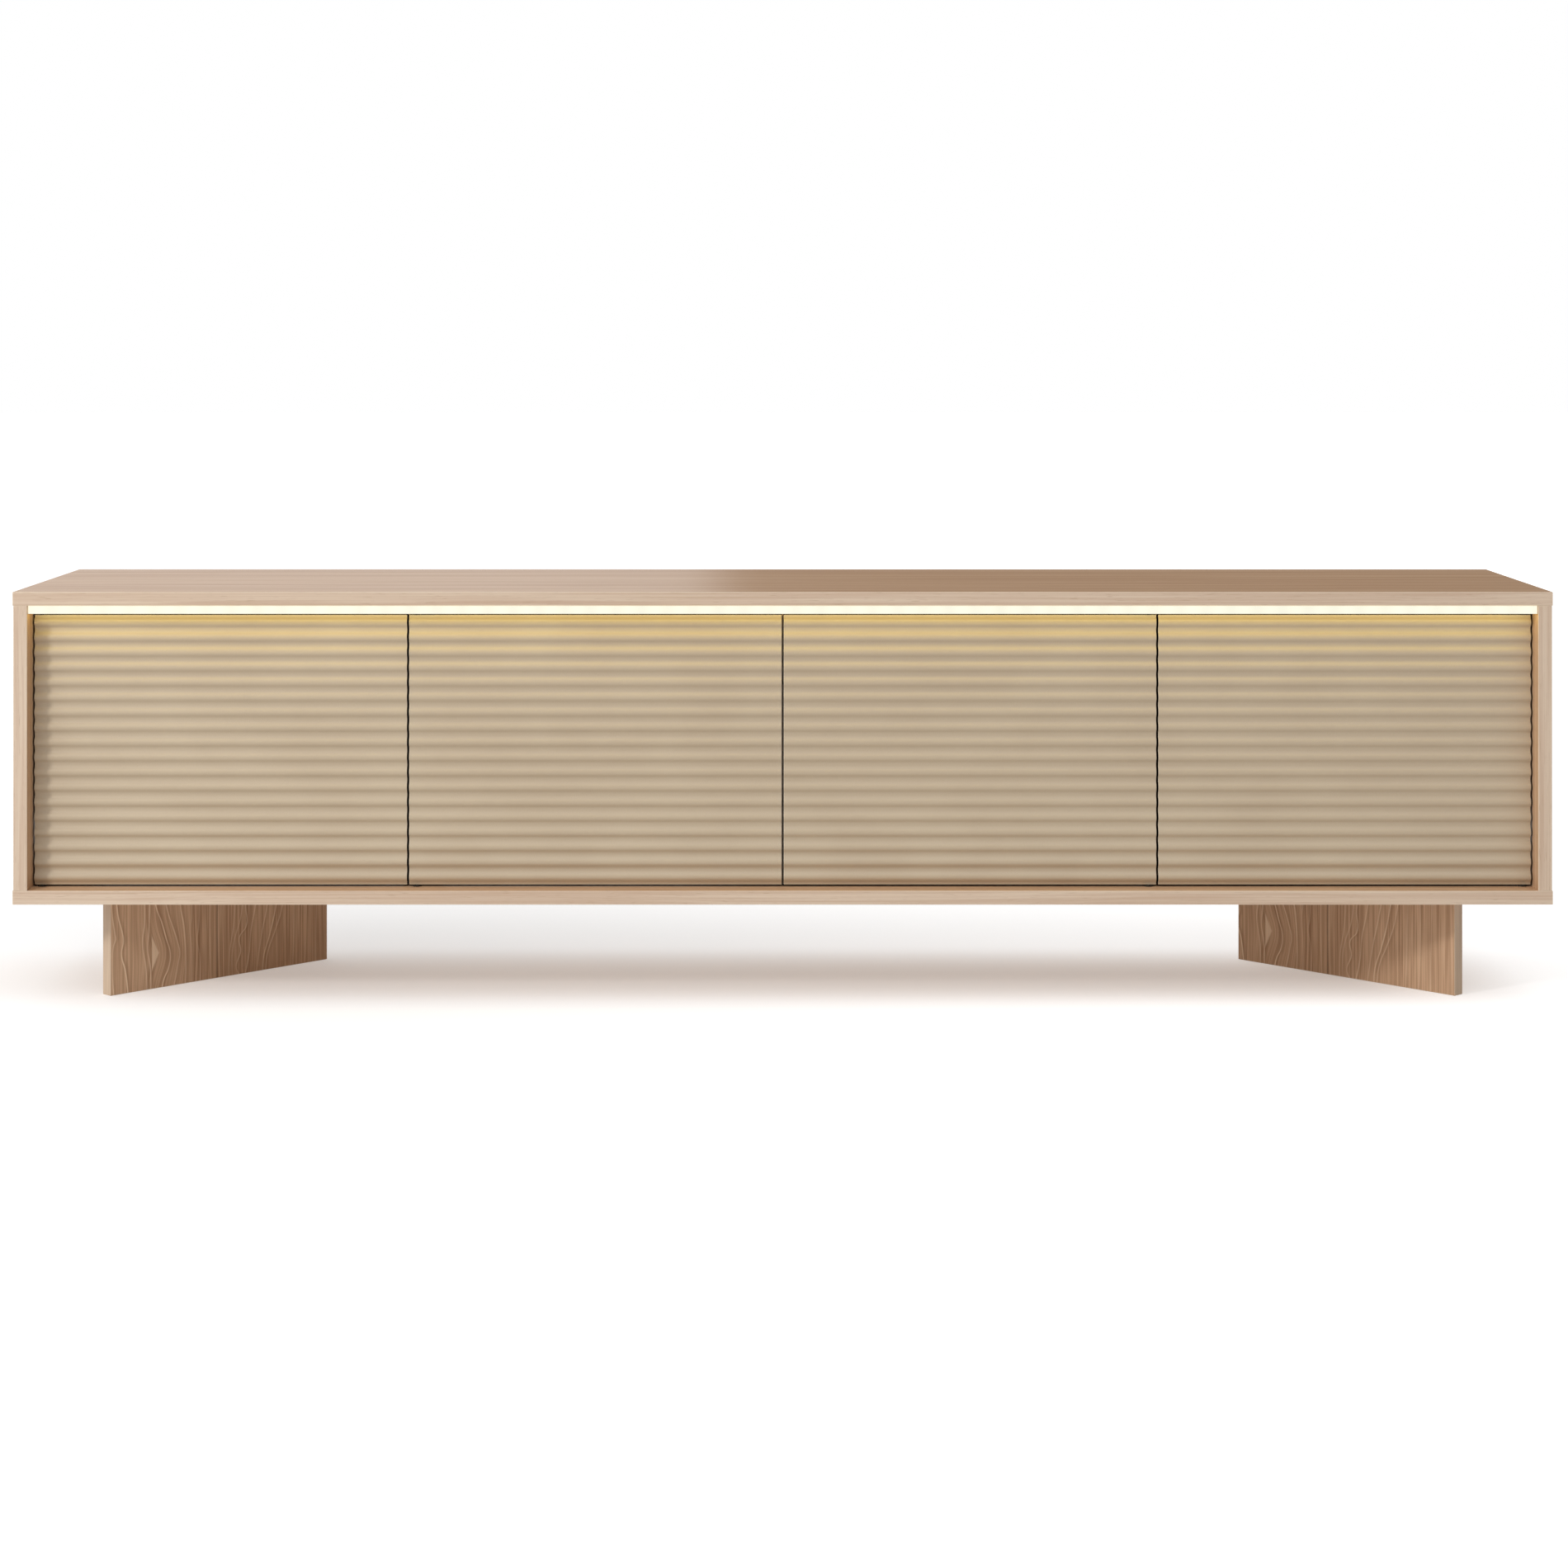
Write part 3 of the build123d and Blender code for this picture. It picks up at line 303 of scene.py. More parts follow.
class Effects:
    """The shader node groups that more than one finish uses."""

    waver = Streaks(1.6, 10.0)
    waver_reach = 0.016
    broad = Streaks(0.9, 42.0)
    streak = Streaks(1.7, 230.0, 1.5, 0.6)
    thread = Streaks(5.0, 760.0)
    pores = Streaks(60.0, 1500.0, 0.0)
    broad_share, streak_share, thread_share, pore_share = 0.3, 0.45, 0.25, 0.3
    grain_smooth, grain_rough = 0.44, 0.56
    handled_scale, handled_least = 60.0, 0.55
    slow_scale = 9.0

    def __init__(self) -> None:
        """Builds each group once."""
        self.board_figure = self._board_figure()
        self.worn_arris = self._worn_arris()
        self.fine_mottle = self._fine_mottle()

    @staticmethod
    def _start(
        name: str, inputs: dict[str, str], outputs: dict[str, str]
    ) -> tuple[bpy.types.NodeTree, Bench, bpy.types.Node, bpy.types.Node]:
        """Starts a group with named sockets.

        Args:
            name: The group's name.
            inputs: Socket types of its inputs, by name.
            outputs: Socket types of its outputs, by name.

        Returns:
            The group, its bench, and its input and output nodes.
        """
        group = bpy.data.node_groups.new(name, "ShaderNodeTree")
        for side, sockets in (("INPUT", inputs), ("OUTPUT", outputs)):
            for socket, kind in sockets.items():
                group.interface.new_socket(name=socket, in_out=side, socket_type=f"NodeSocket{kind}")
        return group, Bench(group), group.nodes.new("NodeGroupInput"), group.nodes.new("NodeGroupOutput")

    def _board_figure(self) -> bpy.types.NodeTree:
        """Straight-grained wood along X: broad tones, fine streaks and short pores.

        Returns:
            A group with colour, roughness and height outputs.
        """
        group, bench, given, result = self._start(
            "board_figure",
            {"Vector": "Vector", "Light": "Color", "Dark": "Color", "Pore": "Color", "Contrast": "Float"},
            {"Colour": "Color", "Roughness": "Float", "Height": "Float"},
        )
        place = given.outputs["Vector"]
        waver = bench.times(bench.streaks(place, self.waver), self.waver_reach)
        drift = bench.add("ShaderNodeCombineXYZ", {"Y": waver, "Z": waver})
        bent = bench.vector("ADD", place, drift.outputs[0])
        streak = bench.streaks(bent, self.streak)
        tone = bench.plus(
            bench.times(bench.ramp(bench.streaks(bent, self.broad), 0.3, 0.7), self.broad_share),
            bench.times(bench.ramp(streak, 0.34, 0.66), self.streak_share),
            bench.times(bench.ramp(bench.streaks(bent, self.thread), 0.3, 0.7), self.thread_share),
        )
        contrast = bench.times(bench.less(tone, 0.5), given.outputs["Contrast"])
        wood = bench.mix(bench.calc("ADD", contrast, 0.5, clamp=True), given.outputs["Dark"], given.outputs["Light"])
        pore = bench.ramp(bench.streaks(bent, self.pores), 0.68, 0.8)
        coloured = bench.mix(bench.times(pore, self.pore_share), wood, given.outputs["Pore"])
        bench.feed(result.inputs["Colour"], coloured)
        bench.feed(result.inputs["Roughness"], bench.ramp(streak, 0.2, 0.8, self.grain_rough, self.grain_smooth))
        bench.feed(result.inputs["Height"], bench.less(bench.times(streak, 0.5), bench.times(pore, 0.8)))
        return group

    def _worn_arris(self) -> bpy.types.NodeTree:
        """Lightens a piece's rounded arrises unevenly, as handling does; on the doors the paler colour is also a
        painted highlight.

        Returns:
            A group with a colour output and a mask output.
        """
        group, bench, given, result = self._start(
            "worn_arris",
            {"Vector": "Vector", "Colour": "Color", "Worn": "Color", "Amount": "Float"},
            {"Colour": "Color", "Mask": "Float"},
        )
        patches = bench.noise(given.outputs["Vector"], self.handled_scale, 3.0, 0.6)
        patchy = bench.ramp(patches, 0.2, 0.6, self.handled_least, 1.0)
        worn = bench.times(bench.mark(ARRIS_MARK), patchy)
        mask = bench.calc("MULTIPLY", worn, given.outputs["Amount"], clamp=True)
        bench.feed(result.inputs["Colour"], bench.mix(mask, given.outputs["Colour"], given.outputs["Worn"]))
        bench.feed(result.inputs["Mask"], mask)
        return group

    def _fine_mottle(self) -> bpy.types.NodeTree:
        """A fine even texture with slow changes of tone, for moulded, cast, drawn and sprayed surfaces.

        Returns:
            A group with tone, roughness and height outputs.
        """
        group, bench, given, result = self._start(
            "fine_mottle",
            {"Vector": "Vector", "Stretch": "Vector", "Scale": "Float", "Smooth": "Float", "Rough": "Float"},
            {"Tone": "Float", "Roughness": "Float", "Height": "Float"},
        )
        place = bench.vector("MULTIPLY", given.outputs["Vector"], given.outputs["Stretch"])
        fine = bench.noise(place, given.outputs["Scale"], 3.0, 0.6)
        slow = bench.noise(given.outputs["Vector"], self.slow_scale)
        bench.feed(result.inputs["Tone"], bench.plus(bench.times(fine, 0.45), bench.times(slow, 0.55)))
        share = bench.plus(bench.times(fine, 0.6), bench.times(slow, 0.4))
        limits = {"To Min": given.outputs["Smooth"], "To Max": given.outputs["Rough"]}
        roughness = bench.add("ShaderNodeMapRange", {"Value": share, "From Min": 0.3, "From Max": 0.7, **limits})
        bench.feed(result.inputs["Roughness"], roughness.outputs[0])
        bench.feed(result.inputs["Height"], fine)
        return group


def blank_material(name: str) -> tuple[bpy.types.Material, Bench, bpy.types.Node]:
    """Starts a material.

    Args:
        name: The material's name.

    Returns:
        The material, its bench and its Principled BSDF.
    """
    material = bpy.data.materials.new(f"{name}_finish")
    material.use_nodes = True
    bench = Bench(material.node_tree)
    return material, bench, material.node_tree.nodes["Principled BSDF"]


def set_constants(shader: bpy.types.Node, **values: float) -> None:
    """Sets constant values on a shader's own sockets, by names with underscores for spaces."""
    for name, value in values.items():
        shader.inputs[name.replace("_", " ")].default_value = value


def dress(
    bench: Bench, shader: bpy.types.Node, colour: object, roughness: object, height: object, bump: Spot
) -> None:
    """Feeds a shader's colour and roughness, and its normal from a height.

    Args:
        bench: The material's bench.
        shader: The material's Principled BSDF.
        colour: The base colour.
        roughness: The roughness.
        height: The height that the bump follows.
        bump: The bump's strength and its distance in metres.
    """
    bench.feed(shader.inputs["Base Color"], colour)
    bench.feed(shader.inputs["Roughness"], roughness)
    relief = bench.add("ShaderNodeBump", {"Strength": bump[0], "Distance": bump[1], "Height": height})
    bench.feed(shader.inputs["Normal"], relief.outputs[0])


# ---------------------------------------------------------------- finishes
@dataclass(frozen=True)
class VeneeredBoard:
    """Straight-grained wood veneer with a matt lacquer, and paler bands along the board's edges."""

    name: str
    light: Colour
    dark: Colour
    band_light: Colour
    band_dark: Colour
    pore: Colour
    worn: Colour
    grain: Grain
    contrast: float = 1.5
    bump: float = 0.12
    wear: float = 0.55
    lacquer: float = 0.32

    def build(self, effects: Effects) -> bpy.types.Material:
        """Makes the material."""
        material, bench, shader = blank_material(self.name)
        place = bench.object_place()
        edge_faces = bench.mark(EDGE_MARK)
        figure = bench.use(
            effects.board_figure,
            Vector=bench.turned(place, self.grain.value),
            Light=bench.mix(edge_faces, self.light, self.band_light),
            Dark=bench.mix(edge_faces, self.dark, self.band_dark),
            Pore=self.pore,
            Contrast=self.contrast,
        ).outputs
        arris = bench.use(effects.worn_arris, Vector=place, Colour=figure["Colour"], Worn=self.worn, Amount=self.wear)
        dress(bench, shader, arris.outputs["Colour"], figure["Roughness"], figure["Height"], (self.bump, 0.0004))
        set_constants(shader, Specular_IOR_Level=0.1, IOR=1.45)
        set_constants(shader, Coat_Weight=self.lacquer, Coat_Roughness=0.16, Coat_IOR=1.5)
        return material


@dataclass(frozen=True)
class GrowthLine:
    """One pale line of a slab's figure: how bold it is, and its run, as (height, distance) pairs in millimetres."""

    bold: float
    run: tuple[Spot, ...]


FIGURE = (
    GrowthLine(0.7, ((134, 1), (104, 3), (80, 7), (74, 8), (66, 5), (40, 3), (0, 5))),
    GrowthLine(1.0, ((134, 8), (116, 10), (103, 12), (78, 19), (70, 20), (53, 17), (30, 23), (0, 27))),
    GrowthLine(0.7, ((134, 52), (90, 53), (62, 50), (32, 55), (0, 57))),
    GrowthLine(0.8, ((134, 61), (75, 60), (54, 58), (32, 62), (0, 63))),
    GrowthLine(1.0, ((134, 69), (107, 72), (88, 80), (66, 87), (43, 94), (24, 91), (11, 84), (0, 81))),
    GrowthLine(0.7, ((134, 84), (107, 88), (62, 104), (43, 109), (30, 107), (0, 100))),
    GrowthLine(0.8, ((134, 108), (100, 111), (82, 115), (65, 117), (30, 119), (0, 118))),
    GrowthLine(0.4, ((134, 128), (88, 128), (70, 126), (43, 128), (0, 128))),
    GrowthLine(0.4, ((134, 141), (70, 139), (57, 137), (35, 141), (0, 142))),
    GrowthLine(0.45, ((134, 173), (60, 172), (0, 174))),
    GrowthLine(0.6, ((134, 222), (93, 217), (63, 217), (52, 207), (30, 208), (11, 201), (0, 206))),
    GrowthLine(0.6, ((134, 240), (86, 232), (60, 226), (25, 222), (0, 216))),
    GrowthLine(0.6, ((134, 262), (85, 252), (52, 244), (8, 236), (0, 235))),
    GrowthLine(0.9, ((134, 276), (80, 266), (48, 257), (20, 247), (0, 245))),
    GrowthLine(0.6, ((134, 286), (80, 277), (52, 266), (25, 254), (0, 250))),
    GrowthLine(0.4, ((134, 200), (70, 197), (30, 190), (0, 189))),
    GrowthLine(0.35, ((134, 213), (80, 209), (40, 196), (0, 195))),
    GrowthLine(0.35, ((134, 160), (60, 158), (0, 160))),
    GrowthLine(0.4, ((134, 300), (60, 298), (0, 296))),
    GrowthLine(0.35, ((134, 318), (60, 319), (0, 316))),
    GrowthLine(0.35, ((134, 338), (60, 336), (0, 335))),
)


@dataclass(frozen=True)
class FiguredSlab:
    """Figured wood with upright grain: pale wandering lines with darker wood beside them, a knot and one seam.

    The figure is drawn along X from the slab's end and up Z from the floor, once the slab is turned square.
    """

    name: str
    light: Colour
    dark: Colour
    line: Colour
    end_light: Colour
    end_dark: Colour
    seam_colour: Colour
    centre_x: float
    centre_y: float
    turn: float
    shift: float
    length: float = 0.355
    height: float = 0.134
    seam: float = 0.1695
    knot: Spot = (0.088, 0.045)
    knot_size: Spot = (0.032, 0.036)
    knot_push: float = 0.014
    heart: Spot = (0.065, 0.047)
    heart_reach: Spot = (0.0125, 0.026)
    line_reach: Spot = (0.0002, 0.0016)
    broad_share: float = 0.4
    hollow_share: float = 0.55
    line_share: float = 0.9
    heart_share: float = 0.75
    wear: float = 0.5
    smooth: float = 0.5
    rough: float = 0.62

    def build(self, effects: Effects) -> bpy.types.Material:
        """Makes the material."""
        material, bench, shader = blank_material(self.name)
        place = bench.object_place()
        centred = bench.vector("SUBTRACT", place, (self.centre_x, self.centre_y, 0.0))
        local = bench.turned(centred, (0.0, 0.0, -self.turn), (self.length / 2 + self.shift, 0.0, 0.0))
        along, across, up = bench.split(local)
        phase = bench.less(along, bench.times(self._knot(bench, along, up), self.knot_push))
        broad, fibre = self._fibres(bench, phase, across, up)
        wood = bench.mix(fibre, self.dark, self.light)
        toned = bench.mix(bench.times(broad, self.broad_share), wood, self.light)
        patchy = bench.noise(bench.vector("MULTIPLY", local, (40.0, 40.0, 25.0)), 1.0)
        line, hollow = self._figure(bench, along, up, patchy)
        shaded = bench.mix(bench.times(hollow, self.hollow_share), toned, self.dark)
        lined = bench.mix(bench.times(line, self.line_share), shaded, self.line)
        hearted = bench.mix(bench.times(self._heart(bench, along, up), self.heart_share), lined, self.line)
        seam = bench.ramp(bench.span(bench.less(along, self.seam)), 0.0004, 0.0012, 0.7, 0.0)
        seamed = bench.mix(seam, hearted, self.seam_colour)
        ended = bench.mix(bench.mark(EDGE_MARK), seamed, bench.mix(fibre, self.end_dark, self.end_light))
        arris = bench.use(effects.worn_arris, Vector=place, Colour=ended, Worn=self.end_light, Amount=self.wear)
        roughness = bench.ramp(fibre, 0.2, 0.8, self.rough, self.smooth)
        dress(bench, shader, arris.outputs["Colour"], roughness, fibre, (0.15, 0.0004))
        set_constants(shader, Specular_IOR_Level=0.2, IOR=1.45, Coat_Weight=0.2, Coat_Roughness=0.25)
        return material

    def _knot(self, bench: Bench, along: object, up: object) -> bpy.types.NodeSocket:
        """A soft round mask, stretched to the knot's size.

        Args:
            bench: The material's bench.
            along: Distance along the slab.
            up: Height.

        Returns:
            The mask, 1 at the knot's middle.
        """
        east = bench.calc("DIVIDE", bench.less(along, self.knot[0]), self.knot_size[0])
        north = bench.calc("DIVIDE", bench.less(up, self.knot[1]), self.knot_size[1])
        reach = bench.plus(bench.times(east, east), bench.times(north, north))
        return bench.calc("EXPONENT", bench.times(reach, -1.0))

    def _heart(self, bench: Bench, along: object, up: object) -> bpy.types.NodeSocket:
        """The pale lens at the knot, straight on its left side and pointed on its right.

        Args:
            bench: The material's bench.
            along: Distance along the slab.
            up: Height.

        Returns:
            The lens's mask.
        """
        left, level = self.heart
        rise = bench.calc("DIVIDE", bench.span(bench.less(up, level)), self.heart_reach[1])
        reach = bench.times(bench.less(1.0, rise), self.heart_reach[0])
        inside = bench.ramp(bench.less(along, bench.plus(left, reach)), -0.0035, 0.0, 1.0, 0.0)
        return bench.times(inside, bench.ramp(along, left - 0.001, left + 0.0005))

    @staticmethod
    def _fibres(
        bench: Bench, phase: object, across: object, up: object
    ) -> tuple[bpy.types.NodeSocket, bpy.types.NodeSocket]:
        """Broad upright bands and the fine fibres between them.

        Args:
            bench: The material's bench.
            phase: Distance along the slab, pushed aside by the knot.
            across: Distance through the slab.
            up: Height.

        Returns:
            The bands' mask and the fibres' mask.
        """

        def upright(width: float, rise: float, detail: float) -> bpy.types.NodeSocket:
            """Noise drawn out upwards."""
            scaled = {"X": bench.times(phase, width), "Y": bench.times(across, width), "Z": bench.times(up, rise)}
            return bench.noise(bench.add("ShaderNodeCombineXYZ", scaled).outputs[0], 1.0, detail, 0.65)

        fine = bench.plus(bench.times(upright(330.0, 5.0, 2.0), 0.6), bench.times(upright(900.0, 9.0, 1.0), 0.4))
        return bench.ramp(upright(34.0, 3.0, 2.0), 0.32, 0.68), bench.ramp(fine, 0.34, 0.66)

    def _figure(
        self, bench: Bench, along: object, up: object, patchy: object
    ) -> tuple[bpy.types.NodeSocket, bpy.types.NodeSocket]:
        """The pale lines, and the darker wood on the far side of each.

        Args:
            bench: The material's bench.
            along: Distance along the slab.
            up: Height.
            patchy: Slow noise that makes the lines swell and fade.

        Returns:
            The lines' mask and the darker wood's mask.
        """
        level = bench.calc("DIVIDE", up, self.height)
        swell = bench.ramp(patchy, 0.3, 0.65, 0.55, 1.0)
        lines: object = 0.0
        hollows: object = 0.0
        for growth in FIGURE:
            curve = bench.add("ShaderNodeFloatCurve", {"Value": level})
            points = curve.mapping.curves[0].points
            run = sorted((high / (MM_PER_M * self.height), far / (MM_PER_M * self.length)) for high, far in growth.run)
            points[0].location, points[-1].location = run[0], run[-1]
            for high, far in run[1:-1]:
                points.new(high, far)
            curve.mapping.update()
            off = bench.less(along, bench.times(curve.outputs[0], self.length))
            line = bench.ramp(bench.span(off), *self.line_reach, growth.bold, 0.0)
            hollow = bench.times(bench.ramp(off, 0.0, 0.0008), bench.ramp(off, 0.001, 0.008, growth.bold, 0.0))
            lines = bench.calc("MAXIMUM", lines, bench.times(line, swell))
            hollows = bench.calc("MAXIMUM", hollows, hollow)
        return lines, hollows


def mottle_tone(bench: Bench, mottle: bpy.types.Node) -> bpy.types.NodeSocket:
    """How far a mottled surface has gone from its deep colour to its own, 0 to 1."""
    return bench.ramp(mottle.outputs["Tone"], 0.3, 0.7)


@dataclass(frozen=True)
class SprayedLacquer:
    """Opaque satin lacquer with a faint spray texture, paler arrises that are partly wear and partly a painted
    highlight, and painted gap shade: near-black ends that stand in for the shade in the gaps between the doors.
    """

    name: str
    colour: Colour
    deep: Colour
    worn: Colour
    gap_shade_colour: Colour
    gap_shade_depth: float = 0.8
    specular: float = 0.4
    coat: float = 0.45

    def build(self, effects: Effects) -> bpy.types.Material:
        """Makes the material."""
        material, bench, shader = blank_material(self.name)
        place = bench.object_place()
        mottle = bench.use(effects.fine_mottle, Vector=place, Stretch=EVEN, Scale=900.0, Smooth=0.36, Rough=0.48)
        tone = mottle_tone(bench, mottle)
        sprayed = bench.mix(tone, self.deep, self.colour)
        # The paler arrises are partly wear and partly a painted highlight along the door edges.
        arris = bench.use(effects.worn_arris, Vector=place, Colour=sprayed, Worn=self.worn, Amount=0.6)
        # Painted gap shade: the marked ends and edge strips of each leaf take a near-black colour with no shine or
        # coat, standing in for the shade in the gaps.
        edge_faces = bench.mark(EDGE_MARK)
        painted_gap_shade = bench.mix(tone, tuple(self.gap_shade_depth * share for share in self.gap_shade_colour), self.gap_shade_colour)
        colour = bench.mix(edge_faces, arris.outputs["Colour"], painted_gap_shade)
        roughness = bench.calc("MAXIMUM", mottle.outputs["Roughness"], edge_faces)
        dress(bench, shader, colour, roughness, mottle.outputs["Height"], (0.05, 0.0002))
        bench.feed(shader.inputs["Specular IOR Level"], bench.ramp(edge_faces, 0.0, 1.0, self.specular, 0.0))
        bench.feed(shader.inputs["Coat Weight"], bench.ramp(edge_faces, 0.0, 1.0, self.coat, 0.0))
        set_constants(shader, IOR=1.47, Coat_Roughness=0.2, Coat_IOR=1.5)
        return material


@dataclass(frozen=True)
class FineSurface:
    """A surface with a fine even texture and paler arrises."""

    name: str
    colour: Colour
    deep: Colour
    smooth: float = 0.38
    rough: float = 0.55
    stretch: Place = EVEN
    scale: float = 1800.0
    wear: float = 0.6
    bump: float = 0.1

    def build(self, effects: Effects) -> bpy.types.Material:
        """Makes the material."""
        material, bench, shader = blank_material(self.name)
        place = bench.object_place()
        mottle = bench.use(
            effects.fine_mottle,
            Vector=place,
            Stretch=self.stretch,
            Scale=self.scale,
            Smooth=self.smooth,
            Rough=self.rough,
        )
        body = bench.mix(mottle_tone(bench, mottle), self.deep, self.colour)
        pale = tuple(min(1.0, share) for share in self.pale())
        arris = bench.use(effects.worn_arris, Vector=place, Colour=body, Worn=pale, Amount=self.wear)
        height = mottle.outputs["Height"]
        dress(bench, shader, arris.outputs["Colour"], mottle.outputs["Roughness"], height, (self.bump, 0.0001))
        set_constants(shader, **self.constants())
        return material

    def pale(self) -> Colour:
        """The colour of the arrises."""
        return self.colour

    def constants(self) -> dict[str, float]:
        """The shader's own constants."""
        return {}


@dataclass(frozen=True)
class WorkedMetal(FineSurface):
    """Drawn, cast or plated metal with fine marks along one direction."""

    scale: float = 1400.0
    wear: float = 0.7
    bump: float = 0.08
    metallic: float = 1.0

    def pale(self) -> Colour:
        """The rubbed colour of the arrises."""
        return tuple(1.25 * share for share in self.colour)

    def constants(self) -> dict[str, float]:
        """The shader's own constants."""
        return {"Metallic": self.metallic}


@dataclass(frozen=True)
class MouldedPlastic(FineSurface):
    """Moulded plastic or rubber with a fine spark-eroded texture."""

    sheer: float = 0.0

    def pale(self) -> Colour:
        """The slightly paler colour of the arrises."""
        return tuple(1.15 * share + 0.02 for share in self.colour)

    def constants(self) -> dict[str, float]:
        """The shader's own constants."""
        return {"IOR": 1.5, "Transmission_Weight": self.sheer}


@dataclass(frozen=True)
class LitOpal:
    """The light bar's opal cover: warm light, a little stronger in front of each lamp."""

    name: str
    glow: Colour
    strength: float
    seen: Colour
    lamp_pitch: float
    beat_share: float = 0.03

    def build(self, effects: Effects) -> bpy.types.Material:
        """Makes the material."""
        material, bench, shader = blank_material(self.name)
        place = bench.object_place()
        along, _, _ = bench.split(place)
        beat = bench.calc("COSINE", bench.times(along, 2 * math.pi / self.lamp_pitch))
        even = bench.plus(bench.times(beat, self.beat_share), 1.0 - self.beat_share)
        mottle = bench.use(effects.fine_mottle, Vector=place, Stretch=EVEN, Scale=1500.0, Smooth=0.3, Rough=0.45)
        cloudy = bench.times(even, bench.ramp(mottle.outputs["Tone"], 0.3, 0.7, 0.97, 1.0))
        cast = tuple(self.strength * share for share in self.glow)
        light = bench.mix(bench.camera_share(), cast, self.seen)
        bench.feed(shader.inputs["Emission Color"], bench.mix(cloudy, BLACK, light))
        opal = bench.mix(mottle.outputs["Tone"], shade(112, 108, 98), shade(122, 118, 108))
        bench.feed(shader.inputs["Base Color"], opal)
        bench.feed(shader.inputs["Roughness"], mottle.outputs["Roughness"])
        set_constants(shader, Emission_Strength=1.0, IOR=1.49)
        return material


@dataclass(frozen=True)
class LampBoard:
    """The lamp strip: white circuit board with copper pads and a yellow face on each lamp."""

    name: str
    pitch: float
    half_lamp: float
    face_level: float
    face_share: float = 0.75
    end_pitches: float = 30.5
    pad_place: float = 0.2
    half_pad: float = 0.0012

    def build(self, effects: Effects) -> bpy.types.Material:
        """Makes the material."""
        material, bench, shader = blank_material(self.name)
        place = bench.object_place()
        along, _, up = bench.split(place)
        beat = bench.span(bench.calc("PINGPONG", bench.plus(along, self.pitch * self.end_pitches), self.pitch / 2))
        lamp = bench.calc("GREATER_THAN", beat, self.pitch / 2 - self.half_lamp * self.face_share)
        pad = bench.calc("LESS_THAN", bench.span(bench.less(beat, self.pitch * self.pad_place)), self.half_pad)
        low = bench.calc("LESS_THAN", up, self.face_level)
        mottle = bench.use(effects.fine_mottle, Vector=place, Stretch=EVEN, Scale=1300.0, Smooth=0.3, Rough=0.5)
        board = bench.mix(mottle.outputs["Tone"], shade(226, 226, 222), shade(240, 240, 236))
        padded = bench.mix(pad, board, shade(196, 136, 84))
        bench.feed(shader.inputs["Base Color"], bench.mix(bench.times(lamp, low), padded, shade(238, 208, 88)))
        bench.feed(shader.inputs["Roughness"], mottle.outputs["Roughness"])
        return material


BOARD_WOOD = {
    "light": shade(208, 172, 138),
    "dark": shade(184, 145, 112),
    "band_light": shade(216, 195, 173),
    "band_dark": shade(199, 172, 149),
    "pore": shade(160, 128, 100),
    "worn": shade(228, 210, 186),
}
SHEET_WOOD = {
    **dict.fromkeys(("light", "band_light"), shade(186, 158, 130)),
    **dict.fromkeys(("dark", "band_dark"), shade(170, 140, 112)),
    "pore": shade(150, 120, 94),
    "worn": shade(190, 164, 136),
}
ROUND_WOOD = {
    **dict.fromkeys(("light", "band_light"), shade(214, 178, 140)),
    **dict.fromkeys(("dark", "band_dark"), shade(194, 154, 116)),
    "pore": shade(160, 116, 80),
    "worn": shade(222, 190, 154),
}
SLAB_WOOD = {
    "light": shade(222, 186, 152),
    "dark": shade(162, 123, 92),
    "line": shade(248, 220, 188),
    "end_light": shade(214, 190, 164),
    "end_dark": shade(196, 172, 148),
    "seam_colour": shade(84, 60, 42),
}


